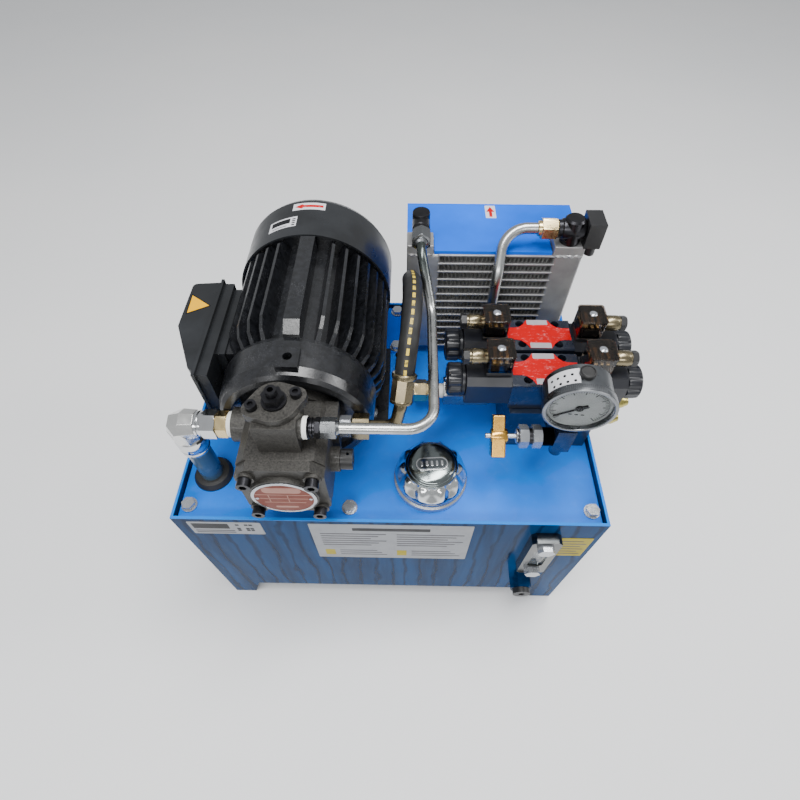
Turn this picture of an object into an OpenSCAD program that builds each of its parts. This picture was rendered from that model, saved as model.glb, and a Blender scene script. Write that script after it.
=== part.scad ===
// Hydraulic power unit: oil tank, flange motor with vane pump, air-blast
// cooler, two solenoid valve stations on a manifold, relief valve and gauge.
// +X right, +Y to the back, +Z up. Origin: centre of the tank's footprint.

/* [Tank] */
// Width of the tank
tank_w = 480; // [470:5:490]
// Depth of the tank, front to back
tank_d = 340; // [336:2:344]
// Height of the tank from the floor to its rim
tank_h = 282; // [278:1:286]
// Thickness of the tank's sheet
sheet_t = 3; // [2:0.5:4]

/* [Motor and pump] */
// Radius over the cooling ribs
rib_r = 90; // [88:1:90]
// Number of rib places round the frame
rib_places = 36; // [24:4:40]
// Radius of the fan cowl
cowl_r = 92; // [91:1:92]
// Width of the pump body
pump_w = 82; // [80:1:84]

/* [Valves] */
// Distance between the two valve stations
station_pitch = 51; // [50:1:53]
// Radius of the coil nuts
coil_nut_r = 19; // [17:1:20]

/* [Lines] */
// Outer diameter of the pressure hose
hose_d = 19; // [16:1:19]
// Outer diameter of the drain tube
drain_tube_d = 10; // [8:1:10]
// Outer diameter of the return tube
return_tube_d = 12; // [10:1:12]

/* [Hidden] */
$fn = 64;

// Clearances
slip = 0.05;
fit = 0.3;
open = 1;

// Tank and lid
half_w = tank_w / 2;
half_d = tank_d / 2;
lid_top = tank_h - 10;
lid_t = 6;
gasket_t = 2;
ledge_t = 5;
ledge_w = 24;
ledge_top = lid_top - lid_t - gasket_t;
floor_z = 42;
foot_w = 30;
foot_slope = 14;
plate_half = (foot_w - sheet_t) / 2;
foot_holes = [for (s = [-1, 1], t = [-1, 1])
    [s * (half_w - sheet_t - plate_half), t * (half_d - sheet_t - plate_half)]];
foot_hole_r = 5.5;
lid_bolts = [for (x = [-(half_w - 14), -45, half_w - 14], y = [-150, 150]) [x, y]];
bolt_r = 4;
gauge_x = 177;
gauge_z = [152, 258];
gauge_bolt_z = [167, 243];
gauge_mid = (gauge_z[0] + gauge_z[1]) / 2;
gauge_face = -half_d - 12;
drain_x = 174;
drain_z = 108;
bung_r = 14;
bung_len = 20;
filler = [46, -112];
filler_r = 42;
neck_bore_r = 27;
cap_z = lid_top + 9 + fit;
suction = [-207, -111];
pipe_r = 12.5;
port_z = 382;
return_x = 116;
return_y = 60;
plate_t = 0.5;

// Motor axis and stations along it
axis_x = -97;
axis_z = lid_top + 93;
bell_front = -98;
frame_front = -50;
frame_back = 97;
cowl_back = 166;
core_r = 70;
rib_root = 3.2;
rib_tip = 1.7;
shaft_r = 12.5;
stator_r = 62;
rotor_r = 38;
foot_bolt_x = 70;
foot_bolt_y = [-30, 66];
foot_y = [-46, 76];
pad_t = 3;
motor_bolts = [for (s = [-1, 1], y = foot_bolt_y) [axis_x + s * foot_bolt_x, y]];
bearing_r = 26;
front_bearing = [-80, -65];
back_bearing = [98, 112];
box_face = -190;
box_back = -179;
box_y = [-78, 54];
box_z = [334, 418];
neck_x = -170;
gland_x = -184.5;
cover_out = -224;

// Pump
pump_front = -181;
cover_t = 16;
body_back = -100;
pump_half = pump_w / 2;
pump_top = axis_z + 43;
pump_bolt = 30.5;
chamber_r = 30;
chamber = [-165, -125];
pump_shaft_r = 9;
bonnet_x = -96;
bonnet_y = -134;
bonnet_top = 455;
bonnet_screw = [18, 7];
adjust_y = -139;
knob_x = axis_x + pump_half + 9 + fit;
drain_y = -144;
drain_line_z = 430;
press_y = -111;

// Cooler
core_x = [54, 180];
core_y = [83, 113];
core_z = [287, 437];
core_rows = 13;
cooler_x = [15, 213];
shroud_back = 176;
port_block_top = 450;
cooler_bolts = [[2, 89], [2, 157], [225, 90], [225, 124]];
cooler_fan_r = 70;
cooler_axis_x = (cooler_x[0] + cooler_x[1]) / 2;
cooler_axis_z = (core_z[0] + core_z[1]) / 2;
fan_y = [142, 158];
left_port = [30, 96];
right_port = [196, 95];
left_elbow_z = 474;
right_elbow_z = 466;

// Valve stack
manifold_x = [132, 232];
manifold_y = [-64, 42];
manifold_top = lid_top + 68;
manifold_bolts = [for (x = [manifold_x[0] + 10, manifold_x[1] - 26], y = [-54, 32]) [x, y]];
valve_x = 166;
valve_half = 37;
valve_d = 46;
valve_top = manifold_top + 43;
rear_valve_y = 16;
front_valve_y = rear_valve_y - station_pitch;
valve_ys = [front_valve_y, rear_valve_y];
coil_z = manifold_top + 23.5;
coil_half = 22;
coil_len = 48;
tube_r = 10;
spool_r = 6;
pin_r = 2.5;
coil_end = valve_half + coil_len;
tube_end = 100.5;
nut_end = 105.5;
bolt_dx = 20.25;
bolt_dy = 15.5;
connector_dx = 52;
gland_z = 402;
port_heights = [292.5, 326];
inlet_y = -4;
inlet_z = 300;

// Relief valve and gauge
relief_y = -98;
relief_z = 347;
block_x = [172, 191];
block_y = [-108, manifold_y[0]];
block_z = [332, 370];
dial = [184, -90, 407];
dial_yaw = -5;
case_r = 33;
bezel_r = 35;
wing_half = 23;
wing_x = [107, 124];

// Routes: corners of the bent steel tubes and hand-set points of the hose
drain_route = [[-44, drain_y, drain_line_z], [42, drain_y, drain_line_z], [42, 2, drain_line_z],
    [left_port[0], 43, left_elbow_z], [left_port[0], 56, left_elbow_z]];
return_route = [[160, right_port[1], right_elbow_z], [122, right_port[1], right_elbow_z],
    [return_x, return_y, 430], [return_x, return_y, 292]];
hose_route = [[15, -82, 431], [17, -71, 445], [19, -56, 455], [21, -38, 462], [22, -18, 465],
    [22, 1, 463], [21, 18, 456], [20, 34, 445], [20, 46, 431], [20, 54, 414], [20, 58, 396],
    [19, 58, 378], [18, 53, 360], [17, 44, 343], [15, 31, 329]];
pump_elbow_route = [[-19, press_y, port_z], [6, press_y, port_z], [12, -103, 403], [12, -98, 410]];
manifold_elbow_route = [[26, inlet_y, inlet_z], [12, inlet_y, inlet_z], [12, 7, 304], [12, 14, 311]];
ferrule_len = 30;
hose_end = hose_route[len(hose_route) - 1];

/* ---- helpers ---- */

module box(x, y, z) translate([x[0], y[0], z[0]]) cube([x[1] - x[0], y[1] - y[0], z[1] - z[0]]);

module xcyl(x, y, z, r) translate([x[0], y, z]) rotate([0, 90, 0]) cylinder(h = x[1] - x[0], r = r);

module ycyl(x, y, z, r) translate([x, y[1], z]) rotate([90, 0, 0]) cylinder(h = y[1] - y[0], r = r);

module zcyl(x, y, z, r) translate([x, y, z[0]]) cylinder(h = z[1] - z[0], r = r);

// Hexagonal prisms, sized across the flats
function hex_r(flats) = flats / sqrt(3);

module xhex(x, y, z, flats)
    translate([x[0], y, z]) rotate([0, 90, 0]) cylinder(h = x[1] - x[0], r = hex_r(flats), $fn = 6);

module yhex(x, y, z, flats)
    translate([x, y[1], z]) rotate([90, 0, 0]) cylinder(h = y[1] - y[0], r = hex_r(flats), $fn = 6);

module zhex(x, y, z, flats)
    translate([x, y, z[0]]) cylinder(h = z[1] - z[0], r = hex_r(flats), $fn = 6);

// Rectangle with chamfered corners, centred
module chamfered(w, h, c)
    polygon([[-w/2 + c, -h/2], [w/2 - c, -h/2], [w/2, -h/2 + c], [w/2, h/2 - c],
        [w/2 - c, h/2], [-w/2 + c, h/2], [-w/2, h/2 - c], [-w/2, -h/2 + c]]);

// Chamfered bar along X or Y through a centre
module xbar(x, y, z, w, h, c)
    translate([x[0], y, z]) rotate([90, 0, 90]) linear_extrude(x[1] - x[0]) chamfered(w, h, c);

module ybar(x, y, z, w, h, c)
    translate([x, y[1], z]) rotate([90, 0, 0]) linear_extrude(y[1] - y[0]) chamfered(w, h, c);

// Solid of revolution about the motor axis; points are [radius, y]
module motor_turned(points)
    translate([axis_x, 0, axis_z]) rotate([-90, 0, 0]) rotate_extrude($fn = 96) polygon(points);

function unit(v) = v / norm(v);

// Directions in which the hose leaves its two ferrules
hose_in = unit(hose_route[1] - hose_route[0]);
hose_out = unit(hose_end - hose_route[len(hose_route) - 2]);

// Arc that rounds the corner b of a route
function corner(a, b, c, r, n) =
    let (d1 = unit(a - b), d2 = unit(c - b), half = acos(d1 * d2) / 2,
        m = b + unit(d1 + d2) * r / sin(half), v1 = b + d1 * r / tan(half) - m,
        v2 = b + d2 * r / tan(half) - m, turn = 180 - 2 * half)
    [for (i = [0:n]) m + (v1 * sin(turn * (1 - i / n)) + v2 * sin(turn * i / n)) / sin(turn)];

function rounded(p, r, n) = concat([p[0]],
    [for (i = [1:len(p) - 2]) for (q = corner(p[i - 1], p[i], p[i + 1], r, n)) q], [p[len(p) - 1]]);

function tangents(p) = [for (i = [0:len(p) - 1])
    unit(p[min(i + 1, len(p) - 1)] - p[max(i - 1, 0)])];

function carried(t, n, i) = i == len(t) ? [] :
    let (m = unit(n - t[i] * (n * t[i]))) concat([m], carried(t, m, i + 1));

// Tube swept along a route, starting sideways vector given
module swept(p, d, start, sides)
{
    t = tangents(p);
    n = carried(t, start, 0);
    ring = [for (i = [0:len(p) - 1]) for (k = [0:sides - 1])
        p[i] + (n[i] * cos(360 * k / sides) + cross(t[i], n[i]) * sin(360 * k / sides)) * d / 2];
    last = (len(p) - 1) * sides;
    walls = [for (i = [0:len(p) - 2]) for (k = [0:sides - 1])
        [i * sides + k, (i + 1) * sides + k, (i + 1) * sides + (k + 1) % sides,
            i * sides + (k + 1) % sides]];
    polyhedron(ring, concat(walls, [[for (k = [0:sides - 1]) k]],
        [[for (k = [0:sides - 1]) last + sides - 1 - k]]));
}

module hex_bolt(x, y, z, shank)
{
    zcyl(x, y, [z, z + 1.8], 8.8);
    zhex(x, y, [z + 1.8, z + 7.5], 13);
    zcyl(x, y, [z - shank, z], bolt_r);
}

/* ---- tank ---- */

module foot_cut(len)
    polygon([[-len/2 + foot_w, -open], [len/2 - foot_w, -open], [len/2 - foot_w - foot_slope, floor_z],
        [-len/2 + foot_w + foot_slope, floor_z]]);

module tank_body() color([0.16, 0.35, 0.6]) difference()
{
    union()
    {
        difference()
        {
            box([-half_w, half_w], [-half_d, half_d], [0, tank_h]);
            box([-half_w + sheet_t, half_w - sheet_t], [-half_d + sheet_t, half_d - sheet_t],
                [floor_z + sheet_t, tank_h + open]);
            box([-half_w + sheet_t, half_w - sheet_t], [-half_d + sheet_t, half_d - sheet_t],
                [-open, floor_z]);
            translate([0, half_d + open, 0]) rotate([90, 0, 0])
                linear_extrude(tank_d + 2 * open) foot_cut(tank_w);
            translate([-half_w - open, 0, 0]) rotate([90, 0, 90])
                linear_extrude(tank_w + 2 * open) foot_cut(tank_d);
        }
        difference()
        {
            box([-half_w + sheet_t, half_w - sheet_t], [-half_d + sheet_t, half_d - sheet_t],
                [ledge_top - ledge_t, ledge_top]);
            box([-half_w + ledge_w, half_w - ledge_w], [-half_d + ledge_w, half_d - ledge_w],
                [ledge_top - ledge_t - open, ledge_top + open]);
        }
        ycyl(drain_x, [-half_d - bung_len, -half_d + sheet_t], drain_z, bung_r);
        for (p = lid_bolts) if (abs(p[0]) < 100)
            box([p[0] - 10, p[0] + 10], [p[1] - 10, p[1] + 10], [ledge_top - 12, ledge_top]);
        // Foot plates turned in under the corners
        for (p = foot_holes) translate([p[0] - plate_half, p[1] - plate_half, 0])
            cube([2 * plate_half, 2 * plate_half, sheet_t]);
    }
    for (p = foot_holes) zcyl(p[0], p[1], [-open, sheet_t + open], foot_hole_r);
    ycyl(drain_x, [-half_d - bung_len - open, -half_d + sheet_t + open], drain_z, 10 + slip);
    for (z = gauge_bolt_z) ycyl(gauge_x, [-half_d - open, -half_d + sheet_t + open], z, 6 + slip);
    for (p = lid_bolts) zcyl(p[0], p[1], [ledge_top - 14, ledge_top + open], bolt_r + slip);
    zcyl(suction[0], suction[1], [ledge_top - ledge_t - open, ledge_top + open], 19);
}

module lid_outline(gap)
    square([tank_w - 2 * (sheet_t + gap), tank_d - 2 * (sheet_t + gap)], center = true);

module lid_gasket() color([0.1, 0.1, 0.1]) translate([0, 0, ledge_top]) linear_extrude(gasket_t)
    difference()
    {
        lid_outline(1);
        square([tank_w - 2 * ledge_w, tank_d - 2 * ledge_w], center = true);
        for (p = lid_bolts) translate(p) circle(r = bolt_r + 0.5);
        translate(suction) circle(r = 19);
    }

module lid_plate() color([0.05, 0.45, 0.8]) difference()
{
    union()
    {
        translate([0, 0, lid_top - lid_t]) linear_extrude(lid_t) lid_outline(1);
        for (s = [-1, 1])
            box([axis_x + s * foot_bolt_x - 22, axis_x + s * foot_bolt_x + 22], foot_y,
                [lid_top, lid_top + pad_t]);
        zcyl(return_x, return_y, [lid_top, lid_top + 8], 14);
    }
    for (p = lid_bolts) zcyl(p[0], p[1], [lid_top - lid_t - open, lid_top + open], bolt_r + 0.5);
    for (p = concat(motor_bolts, cooler_bolts, manifold_bolts))
        zcyl(p[0], p[1], [lid_top - lid_t - open, lid_top + pad_t + open], bolt_r + slip);
    zcyl(filler[0], filler[1], [lid_top - lid_t - open, lid_top + open], 32);
    zcyl(suction[0], suction[1], [lid_top - lid_t - open, lid_top + open], 18);
    zcyl(return_x, return_y, [lid_top - lid_t - open, lid_top + 8 + open], 8 + slip);
}

module flange_bolts() color([0.8, 0.82, 0.85])
{
    for (p = lid_bolts) hex_bolt(p[0], p[1], lid_top, 18);
    for (p = motor_bolts) hex_bolt(p[0], p[1], lid_top + pad_t + 12, 24);
    for (p = cooler_bolts) hex_bolt(p[0], p[1], lid_top + 2.5, lid_t + 2.5);
    // The manifold is bolted from under the lid
    for (p = manifold_bolts) translate([p[0], p[1], lid_top - lid_t]) mirror([0, 0, 1])
        hex_bolt(0, 0, 0, 20);
}

module drain_plug() color([0.1, 0.1, 0.1])
{
    ycyl(drain_x, [-half_d - bung_len, -half_d - 4], drain_z, 10);
    difference()
    {
        ycyl(drain_x, [-half_d - bung_len - 7, -half_d - bung_len], drain_z, 11.5);
        yhex(drain_x, [-half_d - bung_len - 8, -half_d - bung_len - 2], drain_z, 8);
    }
}

module level_gauge_housing() color([0.55, 0.56, 0.55]) difference()
{
    ybar(gauge_x, [gauge_face, -half_d], gauge_mid, 34, gauge_z[1] - gauge_z[0], 5);
    ybar(gauge_x, [gauge_face - open, -half_d + open], gauge_mid, 18, 50, 3);
    for (z = gauge_bolt_z) ycyl(gauge_x, [gauge_face - open, -half_d + open], z, 6 + slip);
}

module level_gauge_window() color([0.8, 0.85, 0.7, 0.5])
    ybar(gauge_x, [gauge_face + 2, -half_d - 1], gauge_mid, 17.8, 49.8, 3);

module level_gauge_bolts() color([0.85, 0.86, 0.88]) for (z = gauge_bolt_z)
{
    yhex(gauge_x, [gauge_face - 7, gauge_face], z, 17);
    ycyl(gauge_x, [gauge_face, -half_d + sheet_t], z, 6);
    yhex(gauge_x, [-half_d + sheet_t, -half_d + sheet_t + 8], z, 17);
}

module filler_neck() color([0.75, 0.76, 0.78]) translate([filler[0], filler[1], lid_top])
    rotate_extrude()
        polygon([[neck_bore_r, -lid_t - 6], [31, -lid_t - 6], [31, 0], [filler_r, 0], [filler_r, 7],
            [filler_r - 2, 9], [36, 9], [36, 5], [34, 5], [34, 14], [neck_bore_r, 14]]);

// Strainer basket hanging in the neck by its rim
module filler_basket() color([0.7, 0.71, 0.7]) translate([filler[0], filler[1], lid_top])
    rotate_extrude() polygon([[0, -90], [neck_bore_r - slip, -90], [neck_bore_r - slip, 14], [33, 14],
        [33, 15], [neck_bore_r - 1.5, 15], [neck_bore_r - 1.5, -88.5], [0, -88.5]]);

// Twelve-lobed screw cap with a stepped crown
module filler_cap() color([0.7, 0.72, 0.75]) translate([filler[0], filler[1], cap_z])
    difference()
    {
        union()
        {
            rotate_extrude() polygon([[0, 0], [39.5, 0], [39.5, 4], [37, 16], [33, 22], [33, 26],
                [28, 29], [27, 33], [20, 35], [0, 35]]);
            difference()
            {
                cylinder(h = 15, r = 41);
                for (k = [0:11]) rotate(30 * k) translate([49, 0, -1]) cylinder(h = 17, r = 12);
            }
        }
        translate([0, 0, -1]) cylinder(h = 21, r = 34.3);
    }

module suction_strainer() color([0.7, 0.7, 0.68]) difference()
{
    union()
    {
        zcyl(suction[0], suction[1], [50, 140], 22);
        zhex(suction[0], suction[1], [140, 158], 36);
    }
    zcyl(suction[0], suction[1], [56, 132], 19);
    zcyl(suction[0], suction[1], [132 - open, 158 + open], pipe_r + slip);
}

module suction_grommet() color([0.08, 0.08, 0.08]) translate([suction[0], suction[1], lid_top])
    rotate_extrude() polygon([[pipe_r + slip, -lid_t - 4], [17.9, -lid_t - 4], [17.9, 0], [22, 0],
        [22, 3], [19, 8], [15, 9], [pipe_r + slip, 9]]);

module suction_pipe() color([0.2, 0.4, 0.6]) difference()
{
    zcyl(suction[0], suction[1], [136, port_z - 30], pipe_r);
    zcyl(suction[0], suction[1], [136 - open, port_z - 30 + open], pipe_r - 2.8);
}

module suction_elbow() color([0.8, 0.81, 0.83])
{
    difference()
    {
        union()
        {
            zcyl(suction[0], suction[1], [port_z - 46, port_z - 22], 16);
            zcyl(suction[0], suction[1], [port_z - 30, port_z], 14);
            xbar([suction[0] - 16, suction[0] + 15], suction[1], port_z, 30, 30, 8);
        }
        zcyl(suction[0], suction[1], [port_z - 46 - open, port_z - 30], pipe_r + slip);
        zcyl(suction[0], suction[1], [port_z - 30 - open, port_z], 9);
        xcyl([suction[0], suction[0] + 16], suction[1], port_z, 9);
    }
    difference()
    {
        union()
        {
            xcyl([suction[0] + 15, suction[0] + 22], suction[1], port_z, 13);
            xhex([suction[0] + 22, suction[0] + 37], suction[1], port_z, 26);
        }
        xcyl([suction[0] + 14, suction[0] + 38], suction[1], port_z, 9);
    }
}

module suction_adapter() color([0.75, 0.6, 0.35]) difference()
{
    union()
    {
        xhex([suction[0] + 37, suction[0] + 48], suction[1], port_z, 24);
        xcyl([suction[0] + 48, suction[0] + 54], suction[1], port_z, 13);
        xcyl([suction[0] + 54, suction[0] + 64], suction[1], port_z, 10);
    }
    xcyl([suction[0] + 36, suction[0] + 65], suction[1], port_z, 8);
}

module label_plates()
{
    color([0.72, 0.72, 0.8]) box([-90, 94], [-half_d - plate_t, -half_d], [166, 274]);
    color([0.75, 0.75, 0.78]) box([-225, -143], [-half_d - plate_t, -half_d], [240, 274]);
    color([0.85, 0.75, 0.2]) box([196, 234], [-half_d - plate_t, -half_d], [186, 244]);
    color([0.7, 0.2, 0.15]) ycyl(axis_x, [pump_front - 1, pump_front], axis_z - 1, 31);
    for (y = valve_ys) color([0.85, 0.1, 0.1]) translate([valve_x, y, valve_top])
        linear_extrude(plate_t) polygon([[-12, -22], [12, -22], [19, -9], [36, -9], [36, 9], [19, 9],
            [12, 22], [-12, 22], [-19, 9], [-36, 9], [-36, -9], [-19, -9]]);
}

/* ---- motor ---- */

// A rib place is left out where the top strip, terminal box and feet are
function has_rib(a) = !(a > 76 && a < 104) && !(a > 143 && a < 207) && !(a > 232 && a < 308);

module motor_frame() color([0.08, 0.08, 0.09]) difference()
{
    union()
    {
        ycyl(axis_x, [frame_front, frame_back], axis_z, core_r);
        intersection()
        {
            for (k = [0:rib_places - 1])
            {
                a = 360 * k / rib_places;
                if (has_rib(a)) translate([axis_x, frame_back, axis_z]) rotate([0, -a, 0])
                    rotate([90, 0, 0]) linear_extrude(frame_back - frame_front)
                        polygon([[core_r - 4, -rib_root], [rib_r, -rib_tip], [rib_r, rib_tip],
                            [core_r - 4, rib_root]]);
            }
            motor_turned([[0, frame_front], [78, frame_front], [86, frame_front + 10],
                [rib_r, frame_front + 24], [rib_r, 86], [rib_r - 4, 91], [rib_r - 4, frame_back],
                [0, frame_back]]);
        }
        // Name strip on top, seat of the terminal box, feet and their webs
        translate([axis_x - 6, 0, axis_z]) rotate([90, 0, 90]) linear_extrude(16)
            polygon([[frame_front, 60], [frame_front, 83], [frame_front + 13, rib_r + 1],
                [91, rib_r + 1], [91, 60]]);
        box([neck_x, axis_x - 50], [-44, 48], [axis_z - 26, axis_z + 46]);
        for (s = [-1, 1])
        {
            box([axis_x + s * foot_bolt_x - 22, axis_x + s * foot_bolt_x + 22], foot_y,
                [lid_top + pad_t, lid_top + pad_t + 12]);
            for (y = foot_y) box([axis_x + s * 50 - 10, axis_x + s * 50 + 10],
                [y - sign(y) * 10, y], [lid_top + pad_t, axis_z - 45]);
        }
    }
    ycyl(axis_x, [frame_front - open, frame_back + open], axis_z, stator_r + 0.2);
    xcyl([neck_x - open, axis_x - 50], 0, axis_z + 8, 9);
    for (p = motor_bolts) zcyl(p[0], p[1], [lid_top, lid_top + 40], bolt_r + 0.5);
}

module motor_end_bells() color([0.09, 0.09, 0.1])
{
    difference()
    {
        union()
        {
            motor_turned([[shaft_r + 1, -88], [shaft_r + 1, -80], [bearing_r + slip, -80],
                [bearing_r + slip, -64], [33, -64], [33, -82], [62, -82], [68, -76], [68, frame_front],
                [79, frame_front], [81, -56], [80, -86], [77, -95], [73, bell_front], [66, bell_front],
                [66, -90], [30, -90], [30, -88]]);
            intersection()
            {
                box([axis_x - 7, axis_x + 14], [-92, -68], [axis_z + 74, axis_z + 85]);
                motor_turned([[72, -92], [72, -68], [96, -68], [96, -92]]);
            }
        }
        zcyl(axis_x + 3, -79, [axis_z + 71, axis_z + 86], 4.5);
    }
    motor_turned([[shaft_r + 1, 115], [shaft_r + 1, 112], [bearing_r + slip, 112],
        [bearing_r + slip, frame_back], [33, frame_back], [33, 106], [60, 104], [60, frame_back],
        [cowl_r - 2 - slip, frame_back], [cowl_r - 2 - slip, 103], [62, 110], [34, 115]]);
}

module motor_stator() color([0.5, 0.35, 0.2])
    motor_turned([[rotor_r + 1, -30], [44, -30], [44, -44], [58, -44], [58, -30],
        [stator_r, -30], [stator_r, 78], [58, 78], [58, 92], [44, 92], [44, 78], [rotor_r + 1, 78]]);

module motor_rotor() color([0.6, 0.6, 0.62])
    motor_turned([[0, -88], [shaft_r, -88], [shaft_r, -32], [rotor_r, -32],
        [rotor_r, 80], [shaft_r, 80], [shaft_r, 120], [10, 120], [10, 148], [0, 148]]);

module motor_bearings() color([0.75, 0.75, 0.78]) for (b = [front_bearing, back_bearing]) difference()
{
    ycyl(axis_x, b, axis_z, bearing_r);
    ycyl(axis_x, [b[0] - open, b[1] + open], axis_z, shaft_r + slip);
}

module motor_fan() color([0.15, 0.15, 0.15]) difference()
{
    union()
    {
        ycyl(axis_x, [122, 146], axis_z, 18);
        ycyl(axis_x, [122, 125], axis_z, 60);
        for (k = [0:7]) translate([axis_x, 0, axis_z]) rotate([0, 45 * k, 0])
            box([14, 74], [122, 146], [-1.5, 1.5]);
    }
    ycyl(axis_x, [120, 148], axis_z, 10 + slip);
}

module fan_cowl() color([0.07, 0.07, 0.08]) difference()
{
    motor_turned([[cowl_r - 2, 92], [cowl_r, 92], [cowl_r, 156], [cowl_r - 3, 163],
        [cowl_r - 9, cowl_back], [0, cowl_back], [0, cowl_back - 2], [cowl_r - 10, cowl_back - 2],
        [cowl_r - 5, 161], [cowl_r - 2, 155]]);
    for (r = [30, 45, 60, 72]) difference()
    {
        ycyl(axis_x, [cowl_back - 3, cowl_back + 1], axis_z, r + 4);
        ycyl(axis_x, [cowl_back - 4, cowl_back + 2], axis_z, r - 3);
        for (k = [0:3]) translate([axis_x, 0, axis_z]) rotate([0, 45 * k, 0])
            box([-95, 95], [cowl_back - 4, cowl_back + 2], [-4, 4]);
    }
}

module terminal_box() color([0.08, 0.08, 0.09])
{
    difference()
    {
        union()
        {
            box([box_face, box_back], box_y, box_z);
            box([box_back, neck_x], [-46, 50], [box_z[0] + 3, box_z[1] - 5]);
        }
        box([box_face - open, box_back - 3], [box_y[0] + 3, box_y[1] - 3], [box_z[0] + 3, box_z[1] - 3]);
        box([box_face - open, neck_x - 3], [-42, 46], [box_z[0] + 7, box_z[1] - 9]);
        xcyl([neck_x - 4, neck_x + open], 0, axis_z + 8, 9);
        for (y = [-45, 5]) zcyl(gland_x, y, [box_z[0] - open, box_z[0] + 4], 4);
    }
    // Cable glands under the box
    for (y = [-45, 5]) difference()
    {
        union()
        {
            zhex(gland_x, y, [box_z[0] - 12, box_z[0]], 10);
            zcyl(gland_x, y, [box_z[0], box_z[0] + 3], 4 - slip);
        }
        zcyl(gland_x, y, [box_z[0] - 13, box_z[0] + 4], 3);
    }
}

module cover_shape(t) offset(r = 5 - t) offset(delta = t - 5)
    polygon([[box_face - t, box_y[0] - 3 + 2 * t], [box_face - 9, box_y[0] + 7 + t],
        [cover_out + t, -14 + t / 2], [cover_out + t, box_y[1] - 3 - t], [box_face - t, box_y[1] - t]]);

module terminal_box_cover() color([0.1, 0.1, 0.11]) difference()
{
    union()
    {
        translate([0, 0, box_z[0]]) linear_extrude(box_z[1] - box_z[0] + 2) cover_shape(0);
        box([box_face - 3, box_face], [box_y[0] - 3, box_y[1] + 3], [box_z[0] - 3, box_z[1] + 4]);
    }
    translate([0, 0, box_z[0] + 2]) linear_extrude(box_z[1] - box_z[0] - 2) cover_shape(2.5);
    box([box_face - 4, box_face + 1], [box_y[0] + 5, box_y[1] - 5], [box_z[0] + 5, box_z[1] - 5]);
}

/* ---- pump ---- */

module pump_body() color([0.2, 0.19, 0.18]) difference()
{
    union()
    {
        ycyl(axis_x, [body_back, -90], axis_z, 52);
        ybar(axis_x, [pump_front + cover_t, body_back], axis_z + 1, pump_w, pump_top - axis_z + 41, 9);
        xcyl([axis_x - pump_half - 15, axis_x], press_y, port_z, 17.5);
        box([axis_x, axis_x + pump_half + 7], [-124, -97], [360, 404]);
        xcyl([axis_x, axis_x + pump_half + 9], adjust_y, axis_z, 12.5);
    }
    ycyl(axis_x, [chamber[0] - open, chamber[1]], axis_z, chamber_r);
    ycyl(axis_x, [chamber[1] - open, -89], axis_z, pump_shaft_r + slip);
    xcyl([axis_x - pump_half - 16, axis_x - pump_half + 8], press_y, port_z, 10 + slip);
    xcyl([axis_x + pump_half - 8, axis_x + pump_half + 8], press_y, port_z, 8 + slip);
    xcyl([axis_x + 34, axis_x + pump_half + 10], adjust_y, axis_z, 6 + slip);
    for (s = [-1, 1], u = [-1, 1])
        ycyl(axis_x + s * pump_bolt, [-166, -150], axis_z + u * pump_bolt, 4 + slip);
    zcyl(bonnet_x, bonnet_y, [pump_top - 6, pump_top + 1], 7);
}

module pump_cover() color([0.2, 0.19, 0.18]) difference()
{
    union()
    {
        ybar(axis_x, [pump_front + 5, pump_front + cover_t], axis_z + 1, pump_w, 84, 12);
        ycyl(axis_x, [pump_front, pump_front + 6], axis_z - 1, 33);
        for (s = [-1, 1], u = [-1, 1])
            ycyl(axis_x + s * pump_bolt, [pump_front + 2, pump_front + 6], axis_z + u * pump_bolt, 8.5);
    }
    for (s = [-1, 1], u = [-1, 1])
        ycyl(axis_x + s * pump_bolt, [pump_front - 1, pump_front + cover_t + 1],
            axis_z + u * pump_bolt, 4 + slip);
    ycyl(axis_x, [pump_front + 8, pump_front + cover_t + 1], axis_z, pump_shaft_r + slip);
}

module pump_bonnet() color([0.21, 0.2, 0.19]) difference()
{
    union()
    {
        zcyl(bonnet_x, bonnet_y, [pump_top, bonnet_top - 8], 22);
        box([axis_x - 18, axis_x + 20], [-157, bonnet_y], [pump_top, bonnet_top - 8]);
        translate([0, 0, bonnet_top - 9]) linear_extrude(9) hull()
        {
            translate([bonnet_x, bonnet_y]) circle(r = 21, $fn = 32);
            for (s = [-1, 1])
                translate([bonnet_x + s * bonnet_screw[0], bonnet_y + s * bonnet_screw[1]])
                    circle(r = 9, $fn = 32);
        }
        xcyl([bonnet_x, axis_x + 23], drain_y, drain_line_z, 11);
    }
    zcyl(bonnet_x, bonnet_y, [pump_top - 1, bonnet_top + 1], 5 + slip);
    xcyl([axis_x + 10, axis_x + 24], drain_y, drain_line_z, 6 + slip);
    for (s = [-1, 1])
        zcyl(bonnet_x + s * bonnet_screw[0], bonnet_y + s * bonnet_screw[1],
            [bonnet_top - 15, bonnet_top + 1], 3 + slip);
}

module pressure_screw() color([0.12, 0.12, 0.12]) difference()
{
    zcyl(bonnet_x, bonnet_y, [pump_top + 14, bonnet_top + 17], 5);
    zhex(bonnet_x, bonnet_y, [bonnet_top + 11, bonnet_top + 18], 5);
}

module pressure_lock_nut() color([0.1, 0.1, 0.1]) difference()
{
    union()
    {
        zcyl(bonnet_x, bonnet_y, [bonnet_top, bonnet_top + 2.5], 11);
        zhex(bonnet_x, bonnet_y, [bonnet_top + 2.5, bonnet_top + 10], 17);
    }
    zcyl(bonnet_x, bonnet_y, [bonnet_top - 1, bonnet_top + 11], 5 + slip);
}

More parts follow.
